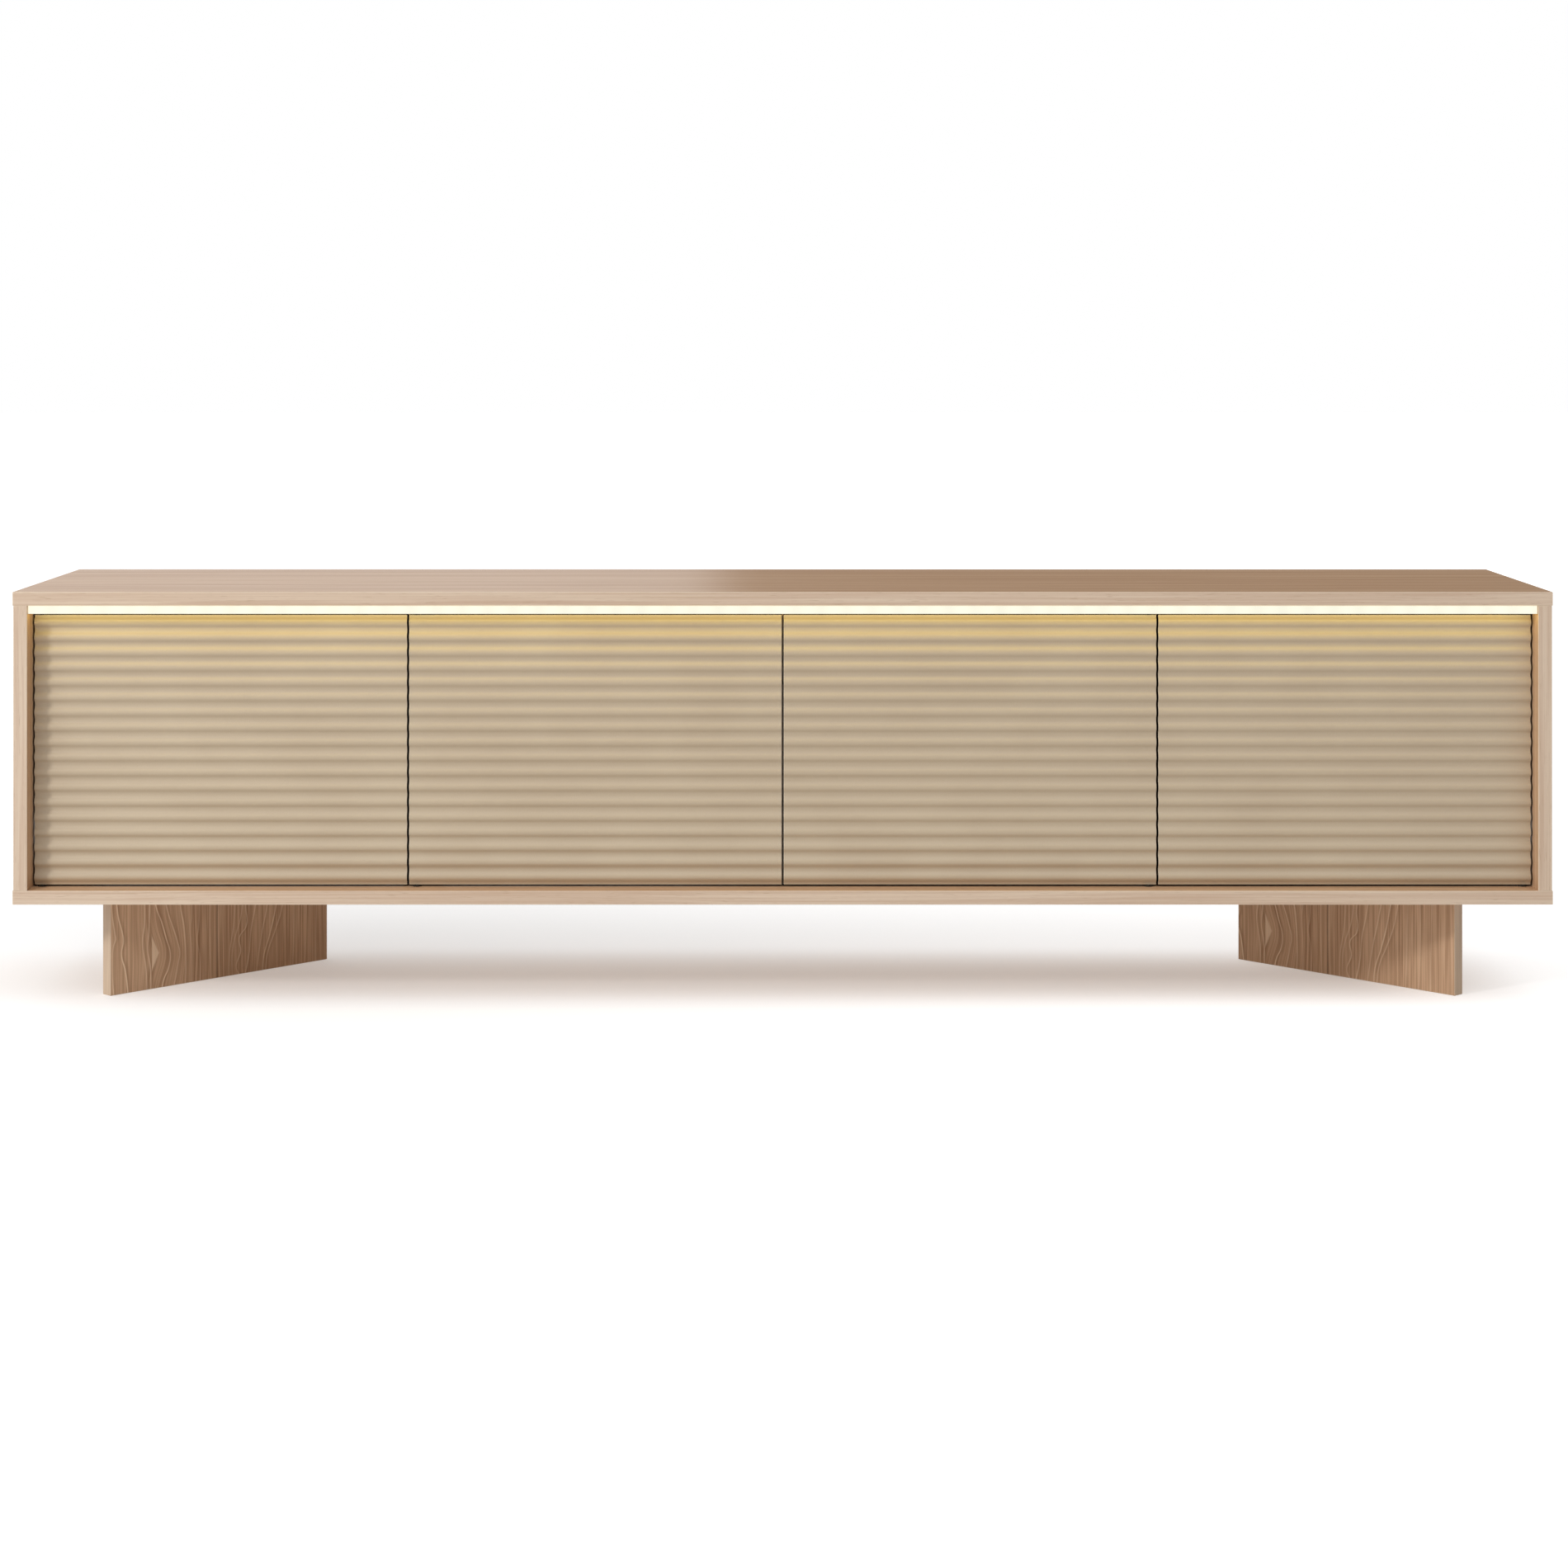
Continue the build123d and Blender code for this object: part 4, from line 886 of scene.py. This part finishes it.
def finish_list(leg_places: dict[str, dict[str, float]]) -> list:
    """Every finish of the cabinet.

    Args:
        leg_places: Each leg's centre, turn and figure shift, by its finish name.

    Returns:
        The finishes, in the order they are built.
    """
    # The near-black end colour is painted shade for the gaps between the doors; the worn colour is partly wear and
    # partly a painted highlight on the arrises.
    door = {"colour": (193, 175, 149), "deep": (187, 168, 142), "worn": (219, 202, 178), "gap_shade_colour": (24, 16, 11)}
    along_x, up_z, ring = (0.02, 1.0, 1.0), (1.0, 1.0, 0.05), (1.0, 8.0, 1.0)
    finishes: list = [
        VeneeredBoard("board_along", grain=Grain.ALONG, **BOARD_WOOD),
        VeneeredBoard("board_upright", grain=Grain.UPRIGHT, **BOARD_WOOD),
        VeneeredBoard("back_sheet", grain=Grain.UPRIGHT, contrast=0.8, bump=0.06, wear=0.3, **SHEET_WOOD),
        VeneeredBoard("beech", grain=Grain.UPRIGHT, lacquer=0.0, **ROUND_WOOD),
        SprayedLacquer("door_lacquer", **{part: shade(*mixed) for part, mixed in door.items()}),
        WorkedMetal("screw_steel", shade(176, 178, 182), shade(140, 142, 148), 0.28, 0.42),
        WorkedMetal("zinc", shade(186, 188, 190), shade(156, 158, 162), 0.32, 0.5, scale=900.0),
        WorkedMetal("nickel", shade(206, 202, 194), shade(186, 182, 174), 0.2, 0.32, ring),
        WorkedMetal("black_steel", shade(46, 46, 48), shade(30, 30, 32), 0.4, 0.55),
        WorkedMetal("brass", shade(206, 168, 96), shade(176, 138, 72), 0.28, 0.42),
        WorkedMetal("aluminium_rail", shade(206, 207, 208), shade(188, 189, 191), 0.3, 0.42, along_x),
        WorkedMetal("back_strip", shade(204, 184, 162), shade(192, 170, 148), 0.42, 0.55, up_z, metallic=0.0),
        MouldedPlastic("cap_plastic", shade(206, 184, 160), shade(194, 170, 146)),
        MouldedPlastic("nylon", shade(62, 48, 36), shade(50, 38, 29), 0.7, 0.9),
        MouldedPlastic("latch_plastic", shade(188, 184, 178), shade(172, 168, 162)),
        MouldedPlastic("plunger_plastic", shade(232, 230, 226), shade(218, 216, 210), 0.28, 0.42),
        MouldedPlastic("clear_rubber", shade(232, 233, 232), shade(222, 223, 222), 0.12, 0.28, sheer=0.8),
        MouldedPlastic("driver_plastic", shade(232, 231, 228), shade(220, 219, 215), 0.35, 0.55),
        MouldedPlastic("lead_sheath", shade(236, 235, 232), shade(224, 223, 219), 0.4, 0.55),
        LitOpal("opal", (1.0, 0.88, 0.35), 3.05, (0.86, 0.85, 0.70), LAMP_PITCH),
        LampBoard("lamp_board", LAMP_PITCH, 0.0025, 0.5192),
    ]
    for name, leg_place in leg_places.items():
        finishes.append(FiguredSlab(name, **leg_place, **SLAB_WOOD))
    return finishes


# ---------------------------------------------------------------- mesh work
def clear_selection() -> None:
    """Deselects everything."""
    for piece in bpy.context.view_layer.objects:
        piece.select_set(False)


def pick(piece: bpy.types.Object) -> None:
    """Makes one piece the only selected and active one."""
    clear_selection()
    piece.select_set(True)
    bpy.context.view_layer.objects.active = piece


def apply_modifier(piece: bpy.types.Object, kind: str, **settings: object) -> None:
    """Adds a modifier to a piece and applies it."""
    pick(piece)
    modifier = piece.modifiers.new(kind.lower(), kind)
    for name, value in settings.items():
        setattr(modifier, name, value)
    bpy.ops.object.modifier_apply(modifier=modifier.name)


def choose(piece: bpy.types.Object, mode: str, test: Callable[[object], bool]) -> None:
    """Selects the edges or the faces that pass a test.

    Args:
        piece: The piece, already in edit mode.
        mode: EDGE or FACE.
        test: Says whether an edge or a face is wanted.
    """
    bpy.ops.mesh.select_mode(type=mode)
    bpy.ops.mesh.select_all(action="DESELECT")
    mesh = bmesh.from_edit_mesh(piece.data)
    wanted = [part for part in (mesh.edges if mode == "EDGE" else mesh.faces) if test(part)]
    for part in wanted:
        part.select_set(True)
    bmesh.update_edit_mesh(piece.data)


def outer_edge_test(piece: bpy.types.Object, outline: Outline, turn: float) -> EdgeTest:
    """Makes the test for the edges that are rounded.

    Args:
        piece: The piece in edit mode.
        outline: Which edges are wanted.
        turn: How far the piece's own block is turned about Z.

    Returns:
        The test.
    """
    mesh = bmesh.from_edit_mesh(piece.data)
    cosine, sine = math.cos(-turn), math.sin(-turn)

    def own(place: Vector) -> Vector:
        """A place along the piece's own block."""
        return Vector((place.x * cosine - place.y * sine, place.x * sine + place.y * cosine, place.z))

    corners = [own(point.co) for point in mesh.verts]
    low = [min(corner[axis] for corner in corners) for axis in range(3)]
    high = [max(corner[axis] for corner in corners) for axis in range(3)]

    def at_limit(edge: bmesh.types.BMEdge, axis: int) -> bool:
        """Whether both ends of an edge lie on one outer plane across an axis."""
        ends = [own(point.co)[axis] for point in edge.verts]
        return any(all(abs(end - limit[axis]) < NEARLY for end in ends) for limit in (low, high))

    def test(edge: bmesh.types.BMEdge) -> bool:
        """Whether an edge is rounded."""
        if len(edge.link_faces) != 2 or not edge.is_convex or edge.calc_face_angle(0.0) < SHARP:
            return False
        if outline is Outline.ALL:
            return True
        limits = [at_limit(edge, axis) for axis in range(3)]
        if outline is Outline.DOOR and limits[0]:
            return limits[2] or limits[1] or all(point.co.y < low[1] + WAVE_REACH for point in edge.verts)
        return sum(limits) >= 2

    return test


def whole_copy(source: bpy.types.Object, name: str) -> bpy.types.Object:
    """Copies a node's mesh as a new piece, merges it and makes its flat faces whole.

    Args:
        source: The CAD node's object.
        name: The new piece's name.

    Returns:
        The new piece.
    """
    piece = bpy.data.objects.new(name, source.data.copy())
    bpy.context.scene.collection.objects.link(piece)
    pick(piece)
    bpy.ops.object.mode_set(mode="EDIT")
    bpy.ops.mesh.select_all(action="SELECT")
    bpy.ops.mesh.remove_doubles(threshold=MERGE_WITHIN)
    bpy.ops.mesh.customdata_custom_splitnormals_clear()
    bpy.ops.mesh.dissolve_limited(angle_limit=FLAT_WITHIN)
    bpy.ops.object.mode_set(mode="OBJECT")
    return piece


def round_edges(piece: bpy.types.Object, width: float, segments: int, outline: Outline, turn: float = 0.0) -> None:
    """Rounds the outer edges of a piece and marks the rounded faces.

    Args:
        piece: The piece.
        width: How far the rounding reaches from the edge.
        segments: How many faces the rounding has.
        outline: Which edges are rounded.
        turn: How far the piece's own block is turned about Z.
    """
    pick(piece)
    bpy.ops.object.mode_set(mode="EDIT")
    choose(piece, "EDGE", outer_edge_test(piece, outline, turn))
    bpy.ops.mesh.bevel(offset=width, segments=segments, affect="EDGES", clamp_overlap=True)
    bpy.ops.object.mode_set(mode="OBJECT")
    mesh = piece.data
    shares = []
    for face in mesh.polygons:
        longest = max(edge_length(mesh, key) for key in face.edge_keys)
        shares.append(float(face.select and face.area < width * longest))
    mark = mesh.attributes.new(ARRIS_MARK, "FLOAT", "FACE")
    mark.data.foreach_set("value", shares)


def edge_length(mesh: bpy.types.Mesh, key: tuple[int, int]) -> float:
    """Length of the edge between two of a mesh's points.

    Args:
        mesh: The mesh.
        key: The two points' numbers.

    Returns:
        The length in metres.
    """
    one, other = (mesh.vertices[index].co for index in key)
    return (one - other).length


def mark_edge_bands(piece: bpy.types.Object, way: Vector, limit: float = 0.99) -> None:
    """Marks the faces round a board's edges.

    Args:
        piece: The board.
        way: The direction through the board's thickness.
        limit: A face is marked when its normal's share along that direction is smaller than this.
    """
    shares = [float(abs(face.normal.dot(way)) < limit) for face in piece.data.polygons]
    mark = piece.data.attributes.new(EDGE_MARK, "FLOAT", "FACE")
    mark.data.foreach_set("value", shares)


def settle_shading(piece: bpy.types.Object) -> None:
    """Smooths rounded places and keeps broad faces flat."""
    pick(piece)
    bpy.ops.object.shade_smooth_by_angle(angle=SMOOTH_BELOW)
    apply_modifier(piece, "WEIGHTED_NORMAL", keep_sharp=True, weight=50)
    clear_selection()


class Workshop:
    """Holds the frame and the finishes, and hands each finished piece over to its body."""

    def __init__(self, frame: dict, finishes: dict[str, bpy.types.Material]) -> None:
        """Keeps the loaded frame and the built materials."""
        self.nodes = frame["nodes"]
        self.finishes = finishes
        self.slots = {node: self.nodes[node].data.materials[0].name for node in self.nodes}

    def hand_over(self, piece: bpy.types.Object, nodes: list[str], finish: str | None = None) -> bpy.types.Object:
        """Dresses a piece, puts it on the body of the nodes it stands for, and hides those nodes.

        Args:
            piece: The finished piece.
            nodes: The CAD nodes it replaces.
            finish: Its finish, when that isn't its slot's own.

        Returns:
            The piece.
        """
        slot = self.slots[nodes[0]]
        piece.data.materials.clear()
        piece.data.materials.append(self.finishes[finish or slot])
        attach(piece, self.nodes[nodes[0]]["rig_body"])
        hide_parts(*nodes)
        return piece

    def rounded(
        self,
        node: str,
        name: str,
        width: float,
        segments: int,
        outline: Outline,
        turn: float = 0.0,
        finish: str | None = None,
    ) -> bpy.types.Object:
        """Makes a rounded piece from one CAD node and hands it over.

        Args:
            node: The CAD node.
            name: The new piece's name.
            width: How far the rounding reaches.
            segments: How many faces the rounding has.
            outline: Which edges are rounded.
            turn: How far the piece's own block is turned about Z.
            finish: Its finish, when that isn't its slot's own.

        Returns:
            The piece.
        """
        piece = whole_copy(self.nodes[node], name)
        round_edges(piece, width, segments, outline, turn)
        settle_shading(piece)
        return self.hand_over(piece, [node], finish)

    def dress_node(self, node: str) -> None:
        """Gives a CAD node that stays its procedural finish."""
        self.nodes[node].material_slots[0].material = self.finishes[self.slots[node]]
        LOG.info("%s keeps its shape, %s", node, self.slots[node])


# ---------------------------------------------------------------- sub-assemblies
@dataclass
class Carcass:
    """The boards: top, bottom, sides, partitions, shelves and the two back sheets with their joint strip."""

    arris: float = 0.0008
    segments: int = 3
    sheet_arris: float = 0.0003
    sheet_segments: int = 2
    boards: tuple[str, ...] = (
        *("top_panel", "bottom_panel", "left_side_panel", "right_side_panel"),
        *("left_partition", "centre_partition", "right_partition"),
        *(f"shelf_{number}" for number in range(1, 5)),
    )
    sheets: tuple[str, ...] = ("left_back_panel", "right_back_panel", "back_joint_strip")

    def build(self, shop: Workshop) -> None:
        """Finishes every board and sheet."""
        for node in self.boards:
            board = shop.rounded(node, f"{node}_board", self.arris, self.segments, Outline.BOARD)
            lying = shop.slots[node] == "board_along"
            mark_edge_bands(board, Vector((0.0, 0.0, 1.0)) if lying else Vector((1.0, 0.0, 0.0)))
        for node in self.sheets:
            shop.rounded(node, f"{node}_sheet", self.sheet_arris, self.sheet_segments, Outline.BOARD)


@dataclass
class Legs:
    """The two slab legs, turned half a right angle to the front."""

    arris: float = 0.0008
    segments: int = 3
    turns: tuple[tuple[str, float], ...] = (("left_leg", math.radians(45)), ("right_leg", math.radians(-45)))
    figure_shifts: tuple[float, float] = (0.0, 0.018)

    def finish_places(self) -> dict[str, dict[str, float]]:
        """Each leg's centre, turn and figure shift, by finish name."""
        places = {}
        for (node, turn), shift in zip(self.turns, self.figure_shifts):
            low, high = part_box(node)
            middle = (low + high) / 2
            places[f"{node}_wood"] = {"centre_x": middle.x, "centre_y": middle.y, "turn": turn, "shift": shift}
        return places

    def build(self, shop: Workshop) -> None:
        """Finishes both legs."""
        for node, turn in self.turns:
            slab = shop.rounded(node, f"{node}_slab", self.arris, self.segments, Outline.BOARD, turn, f"{node}_wood")
            mark_edge_bands(slab, Vector((-math.sin(turn), math.cos(turn), 0.0)))


@dataclass
class Doors:
    """The four door leaves with their pivot plates, catches, pads and latch push rods."""

    count: int = 4
    arris: float = 0.0012
    segments: int = 4
    gap_shade_limit: float = 0.62
    plate_arris: float = 0.0002
    part_segments: int = 3

    def build(self, shop: Workshop) -> None:
        """Finishes each door."""
        for number in range(1, self.count + 1):
            door = f"door_{number}"
            leaf = shop.rounded(f"{door}_panel", f"{door}_leaf", self.arris, self.segments, Outline.DOOR)
            # These marked faces take the painted gap shade, a near-black colour standing in for the shade in the gaps
            # between the doors.
            mark_edge_bands(leaf, Vector((0.0, 1.0, 0.0)), self.gap_shade_limit)
            pivots = f"{door}_pivots"
            shop.rounded(pivots, f"{door}_pivot_plates", self.plate_arris, 2, Outline.ALL, finish="black_steel")
            for node, name, width in (
                (f"{door}_catch", f"{door}_catch_plate", 0.0003),
                (f"{door}_bumpers", f"{door}_bumper_pads", 0.0004),
                (f"latch_{number}_plunger", f"latch_{number}_push_rod", 0.0005),
            ):
                shop.rounded(node, name, width, self.part_segments, Outline.ALL)


@dataclass
class Fittings:
    """Cams, caps, bushes, housings, pins, bolts and clips."""

    rounding: dict[str, float] = field(
        default_factory=lambda: {
            "cam_locks": 0.0003,
            "cam_caps": 0.0004,
            "shelf_pins": 0.0004,
            "pivot_bushes": 0.0002,
            "pivot_housings": 0.0005,
            "latch_housings": 0.0005,
            "leg_bolts": 0.0003,
            "lead_clips": 0.0003,
            "light_driver": 0.0008,
            "driver_inlet": 0.0004,
            "light_rail": 0.0002,
            "lamp_strip": 0.0001,
            "light_end_caps": 0.0003,
        }
    )
    segments: int = 2
    hidden: tuple[str, ...] = ("cam_bolts", "dowels", "leg_inserts")

    def build(self, shop: Workshop) -> None:
        """Finishes the fittings, and dresses those that are wholly inside the boards."""
        for node, width in self.rounding.items():
            shop.rounded(node, f"{node}_finished", width, self.segments, Outline.ALL)
        for node in self.hidden:
            shop.dress_node(node)


@dataclass
class ScrewSets:
    """Pan-head screws with a cross recess, one at each place where the CAD has one."""

    head_radius: float = 0.0035
    head_play: float = 0.0002
    head_points: int = 12
    recess_depth: float = 0.0011
    recess_reach: float = 0.0019
    recess_width: float = 0.0006
    taper: float = 0.6
    arris: float = 0.0003
    segments: int = 2
    sets: tuple[str, ...] = ("short_screws", "housing_screws", *(f"door_{number}_screws" for number in range(1, 5)))

    def build(self, shop: Workshop) -> None:
        """Finishes each set of screws."""
        for node in self.sets:
            piece = whole_copy(shop.nodes[node], f"{node}_crossed")
            heads = self._heads(piece)
            self._cut_crosses(piece, heads)
            round_edges(piece, self.arris, self.segments, Outline.ALL)
            settle_shading(piece)
            shop.hand_over(piece, [node])

    def _heads(self, piece: bpy.types.Object) -> list[tuple[Vector, Vector]]:
        """The middle of each head's outer face and the way it faces."""
        disc = math.pi * self.head_radius**2
        heads = []
        for face in piece.data.polygons:
            reach = max((piece.data.vertices[index].co - face.center).length for index in face.vertices)
            round_enough = len(face.vertices) > self.head_points and face.area > FACING * disc
            if round_enough and abs(reach - self.head_radius) < self.head_play:
                heads.append((face.center.copy(), face.normal.copy()))
        return heads

    def _cut_crosses(self, piece: bpy.types.Object, heads: list[tuple[Vector, Vector]]) -> None:
        """Cuts a tapered cross into every head.

        Args:
            piece: The screws.
            heads: The middle and direction of each head.
        """
        clear_selection()
        cutters = []
        for centre, way in heads:
            turn = way.to_track_quat("Z", "Y").to_euler()
            for quarter in (0.0, math.pi / 2):
                bpy.ops.mesh.primitive_cube_add(size=1.0, location=centre, rotation=turn)
                bar = bpy.context.object
                bar.rotation_euler.rotate_axis("Z", quarter)
                bar.scale = (2 * self.recess_reach, self.recess_width, 2 * self.recess_depth)
                bpy.ops.object.transform_apply(location=True, rotation=True, scale=True)
                self._taper(bar, centre, way)
                cutters.append(bar)
        for bar in cutters:
            pick(bar)
            apply_cut(piece, bar)

    def _taper(self, bar: bpy.types.Object, centre: Vector, way: Vector) -> None:
        """Draws in a cutter's deep end so that the recess narrows."""
        pick(bar)
        bpy.ops.object.mode_set(mode="EDIT")
        choose(bar, "FACE", lambda face: face.normal.dot(way) < -FACING)
        deep = centre - way * self.recess_depth
        bpy.ops.transform.resize(value=(self.taper,) * 3, center_override=tuple(deep))
        bpy.ops.object.mode_set(mode="OBJECT")


def apply_cut(piece: bpy.types.Object, cutter: bpy.types.Object) -> None:
    """Cuts one piece with another and removes the cutter."""
    apply_modifier(piece, "BOOLEAN", object=cutter, operation="DIFFERENCE", solver="EXACT")
    bpy.data.objects.remove(cutter)


@dataclass
class LightBar:
    """The opal cover over the lamps, and the lead to its driver."""

    cover_arris: float = 0.0008
    cover_segments: int = 3
    lead_diameter: float = 0.0035
    lead_length: float = 0.312
    level: float = 0.518
    route: tuple[tuple[float, float], ...] = (
        (-0.030, -0.1862),
        (-0.0315, -0.132),
        (-0.044, -0.084),
        (-0.078, -0.044),
        (-0.118, -0.010),
        (-0.146, 0.036),
        (-0.150, 0.0878),
    )

    def build(self, shop: Workshop) -> None:
        """Finishes the cover and lays the lead."""
        shop.rounded("light_cover", "light_cover_opal", self.cover_arris, self.cover_segments, Outline.ALL)
        self._lay_lead(shop)

    def _lay_lead(self, shop: Workshop) -> None:
        """Lays the two-core lead along its route under the top panel."""
        line = bpy.data.curves.new("light_lead_line", "CURVE")
        line.dimensions = "3D"
        line.resolution_u = 16
        spline = line.splines.new("NURBS")
        spline.points.add(len(self.route) - 1)
        for point, (x, y) in zip(spline.points, self.route):
            point.co = (x, y, self.level, 1.0)
        spline.order_u = 3
        spline.use_endpoint_u = True
        line.bevel_depth = self.lead_diameter / 2
        line.bevel_resolution = 5
        line.use_fill_caps = True
        lead = bpy.data.objects.new("light_lead_cord", line)
        bpy.context.scene.collection.objects.link(lead)
        line.materials.append(shop.finishes["lead_sheath"])
        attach(lead, shop.nodes["light_lead"]["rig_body"])
        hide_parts("light_lead")
        LOG.info("%s is %.3f m long", lead.name, self.lead_length)


# ---------------------------------------------------------------- studio
@dataclass
class Studio:
    """The pale floor, the soft surround, the key light and the camera."""

    eye: Place = (0.0, -4.41, 0.880)
    focal: float = 74.46
    sensor: float = 36.0
    shift_x: float = 0.00084
    shift_y: float = -0.2895
    reach: float = 100.0
    surround: float = 0.41
    from_left: float = 0.40
    from_front: float = 0.05
    from_above: float = 0.36
    overhead: float = 0.75
    bright_behind: float = 0.9
    dim_behind: float = 0.04
    key_place: Place = (-2.9, -2.9, 2.1)
    key_aim: Place = (-0.5, 0.0, 0.35)
    key_width: float = 0.5
    key_power: float = 50.0
    floor_size: float = 60.0
    floor_seen: float = 0.42
    floor_shaded: float = 0.355
    floor_lift: float = 0.22
    floor_far: float = 0.12
    floor_cast: float = 0.32
    shade_shift: float = 0.1
    shade_tint: Colour = (1.0, 0.94, 0.89)

    def build(self) -> None:
        """Sets up the studio."""
        scene = bpy.context.scene
        scene.view_settings.view_transform = "Standard"
        self._surround(scene)
        self._floor()
        self._key()
        self._camera(scene)

    def _surround(self, scene: bpy.types.Scene) -> None:
        """A soft surround, brighter to the left and overhead, with a darker panel behind the right half."""
        world = bpy.data.worlds.new("soft_surround")
        scene.world = world
        world.use_nodes = True
        bench = Bench(world.node_tree)
        way = bench.add("ShaderNodeTexCoord").outputs["Generated"]
        lean = (-self.from_left, -self.from_front, self.from_above)
        slope = bench.add("ShaderNodeVectorMath", {0: way, 1: lean}, operation="DOT_PRODUCT").outputs["Value"]
        east, north, up = bench.split(way)
        aloft = bench.times(bench.ramp(up, 0.5, 0.68), bench.ramp(north, -0.45, -0.1, 1.0, 0.0))
        soft = bench.plus(slope, self.surround, bench.times(aloft, self.overhead))
        behind = bench.times(bench.ramp(north, 0.6, 0.9), bench.ramp(up, 0.2, 0.5, 1.0, 0.0))
        panel = bench.ramp(east, -0.032, -0.008, self.bright_behind, self.dim_behind)
        lit = bench.plus(bench.times(soft, bench.less(1.0, behind)), bench.times(behind, panel))
        seen = bench.camera_share()
        shown = bench.plus(seen, bench.times(bench.less(1.0, seen), lit))
        grey = bench.add("ShaderNodeCombineXYZ", {"X": shown, "Y": shown, "Z": shown})
        bench.feed(world.node_tree.nodes["Background"].inputs["Color"], grey.outputs[0])

    def _floor(self) -> None:
        """A broad pale floor whose glow carries a painted shadow, dimmer and warmer in a patch under the cabinet, and
        painted light that rises towards the right; it also brightens far back.
        """
        clear_selection()
        bpy.ops.mesh.primitive_plane_add(size=self.floor_size, location=(0.0, 0.0, 0.0))
        floor = bpy.context.object
        floor.name = "studio_floor"
        material, bench, shader = blank_material("studio_floor")
        place = bench.object_place()
        fleck = bench.noise(place, 3.0, 3.0)
        bench.feed(shader.inputs["Base Color"], bench.mix(fleck, shade(215, 215, 215), shade(219, 219, 219)))
        bench.feed(shader.inputs["Roughness"], bench.ramp(fleck, 0.2, 0.8, 0.9, 1.0))
        east, north, _ = bench.split(place)
        # Painted shadow: in a patch under the cabinet, shifted to the left, the glow falls to the shaded level and
        # turns warm.
        across = bench.ramp(bench.span(bench.plus(east, self.shade_shift)), 0.85, 1.15, 1.0, 0.0)
        under = bench.times(bench.ramp(bench.span(north), 0.02, 0.24, 1.0, 0.0), across)
        # Painted light: the glow rises towards the right, and far back it rises again.
        lift = bench.times(bench.ramp(east, -1.2, 1.2), self.floor_lift)
        far = bench.times(bench.ramp(north, 0.8, 4.0), self.floor_far)
        open_glow = bench.plus(self.floor_seen, lift, far)
        glow = bench.plus(bench.times(open_glow, bench.less(1.0, under)), bench.times(under, self.floor_shaded))
        share = bench.plus(self.floor_cast, bench.times(bench.camera_share(), 1.0 - self.floor_cast))
        tint = bench.mix(under, WHITE, self.shade_tint)
        bench.feed(shader.inputs["Emission Color"], bench.mix(bench.times(glow, share), BLACK, tint))
        set_constants(shader, Emission_Strength=1.0, Specular_IOR_Level=0.0)
        floor.data.materials.append(material)

    def _key(self) -> None:
        """A soft key light in front, to the left."""
        light = bpy.data.lights.new("soft_key", "AREA")
        light.shape = "DISK"
        light.size = self.key_width
        light.energy = self.key_power
        key = bpy.data.objects.new("soft_key", light)
        bpy.context.scene.collection.objects.link(key)
        key.location = self.key_place
        key.rotation_euler = (Vector(self.key_aim) - key.location).to_track_quat("-Z", "Y").to_euler()

    def _camera(self, scene: bpy.types.Scene) -> None:
        """The level camera, with its frame shifted down."""
        lens = bpy.data.cameras.new("camera")
        lens.lens, lens.sensor_width = self.focal, self.sensor
        lens.shift_x, lens.shift_y = self.shift_x, self.shift_y
        lens.clip_end = self.reach
        camera = bpy.data.objects.new("camera", lens)
        scene.collection.objects.link(camera)
        camera.location = self.eye
        camera.rotation_euler = (math.pi / 2, 0.0, 0.0)
        scene.camera = camera


def main() -> None:
    """Builds the cabinet's pieces in order."""
    logging.basicConfig(level=logging.INFO, format="%(message)s")
    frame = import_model()
    Studio().build()
    legs = Legs()
    effects = Effects()
    finishes = {finish.name: finish.build(effects) for finish in finish_list(legs.finish_places())}
    shop = Workshop(frame, finishes)
    for assembly in (Carcass(), legs, Doors(), Fittings(), ScrewSets(), LightBar()):
        LOG.info("%s", type(assembly).__name__)
        assembly.build(shop)


if __name__ == "__main__":
    main()
